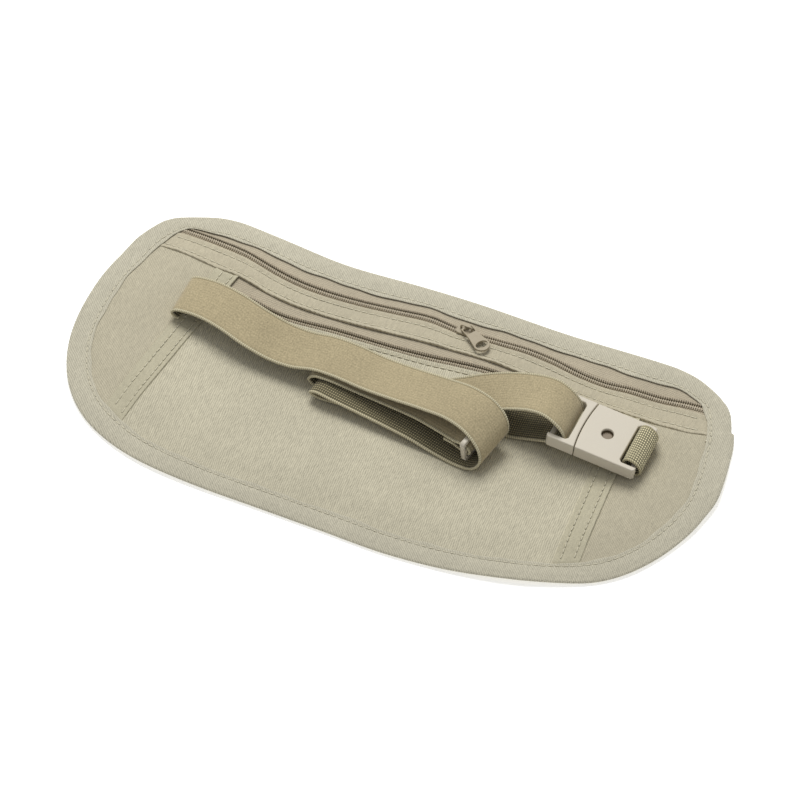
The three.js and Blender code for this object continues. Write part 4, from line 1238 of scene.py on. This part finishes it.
def zips():
    near_coil = CHAIN_HALF + 0.1
    for name, node, centre, low, high, reach, level in (
            ("upper_zip_tape_above", "upper_zip_tape_top", upper_y, near_coil, 14, 126, EDGE_Y),
            ("upper_zip_tape_below", "upper_zip_tape_bottom", upper_y, -8, -near_coil, 131, EDGE_Y),
            ("lower_zip_tape_above", "lower_zip_tape_top", lower_y, near_coil, 15, 90, LOWER_TAPE_TOP_Y),
            ("lower_zip_tape_below", "lower_zip_tape_bottom", lower_y, -8, -near_coil, 90, EDGE_Y)):
        tape = make_zip_tape(name, centre, low, high, reach, level)
        depth = min(high, level - centre(0)) - low
        place_cloth(tape, [node])
    lower_yaw = LOWER_YAW + math.degrees(math.atan(LOWER_LEAN))
    chains = (("upper", upper_y, 124, UPPER_SLIDER_X, 0, UPPER_YAW),
              ("lower", lower_y, 85.2, LOWER_SLIDER_X, LOWER_LEAN, lower_yaw))
    for which, centre, reach, slider_x, _, _ in chains:
        for place, row, side in (("above", "top", 1), ("below", "bottom", -1)):
            coil = make_coil(f"{which}_coil_{place}", centre, reach, side, slider_x)
            place_part(coil, f"{which}_coil_{row}", "pouch")
    for which, centre, _, slider_x, lean, yaw in chains:
        slider = make_slider(which + "_slider_body", slider_x, centre(slider_x), lean)
        place_part(slider, which + "_zip_slider", which + "_slider")
        pull = make_pull(which + "_slider_pull", slider_x, centre(slider_x), yaw)
        place_part(pull, which + "_zip_pull", which + "_pull")


def straps():
    elastic = [ELASTIC, ELASTIC_GRID, ELASTIC_EDGE]
    outer = make_strap("strap_outer", MAIN_ROUTE, STRAP_WIDTH, elastic, 0, MAIN_FOLD)
    place_part(outer, "waist_strap", "pouch")
    inner = make_strap("strap_to_buckle", MAIN_ROUTE, STRAP_WIDTH, elastic, MAIN_FOLD)
    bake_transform(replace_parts(inner, "waist_strap"))
    back = RETURN_ROUTE + wrap_route()
    lower = make_strap("strap_return_lower", back, STRAP_WIDTH, elastic, 0, RETURN_FOLD)
    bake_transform(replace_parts(lower, "strap_return"))
    upper = make_strap("strap_return_upper", back, STRAP_WIDTH, elastic, RETURN_FOLD)
    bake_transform(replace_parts(upper, "strap_return"))
    loop = make_strap("buckle_loop", loop_route(), LOOP_WIDTH, [WEBBING, WEBBING, WEBBING_EDGE], loops=0.04)
    place_part(loop, "webbing_loop", "pouch")


def hardware():
    for make, node, body in (
            (make_female, "buckle_female", "pouch"), (make_male, "buckle_male", "male_half"),
            (make_tongue, "release_tongue", "tongue"), (make_adjuster, "strap_adjuster", "adjuster")):
        place_part(make(), node, body)


# ---- floor, light and camera ----------------------------------------------------------------

def area_light(name, place, aim, size, power, tint):
    data = bpy.data.lights.new(name, "AREA")
    data.shape, data.size, data.energy, data.color = "DISK", size, power, tint
    lamp = bpy.data.objects.new(name, data)
    bpy.context.scene.collection.objects.link(lamp)
    lamp.location = place
    lamp.rotation_euler = (Vector(aim) - Vector(place)).to_track_quat("-Z", "Y").to_euler()


def studio():
    world = bpy.data.worlds.new("pale_room")
    bpy.context.scene.world = world
    world.use_nodes = True
    world.node_tree.nodes["Background"].inputs["Color"].default_value = (1, 1, 1, 1)
    world.node_tree.nodes["Background"].inputs["Strength"].default_value = 0.4
    area_light("key", (-0.35, 0.75, 1.25), (0, 0, 0), 0.9, 18, (1, 0.99, 0.97))
    half, level = 3000, -0.3
    corners = [(x, y, level) for x, y in rectangle(-half, -half, half, half)]
    floor = mesh_object("floor", corners, [[0, 1, 2, 3]], [table("white_table")])
    bpy.context.scene.view_settings.view_transform = "Standard"


def camera():
    """A very long lens, because the photo shows almost no perspective."""
    aim, distance = Vector((0.00211, 0.00825, 0.0015)), 13.508
    azimuth, elevation, roll = (math.radians(v) for v in (26.37, 48.54, -1.637))
    back = Vector((math.sin(azimuth) * math.cos(elevation), -math.cos(azimuth) * math.cos(elevation),
                   math.sin(elevation)))
    right = Vector((math.cos(azimuth), math.sin(azimuth), 0))
    up = back.cross(right)
    right, up = math.cos(roll) * right + math.sin(roll) * up, math.cos(roll) * up - math.sin(roll) * right
    data = bpy.data.cameras.new("camera")
    data.lens, data.sensor_width, data.clip_end = 1500, 36, 100
    eye = bpy.data.objects.new("camera", data)
    bpy.context.scene.collection.objects.link(eye)
    place = Matrix((right, up, back)).transposed().to_4x4()
    place.translation = aim + back * distance
    eye.matrix_world = place
    bpy.context.scene.camera = eye


pouch_cloth()
pouch_stitches()
zips()
straps()
hardware()
studio()
camera()
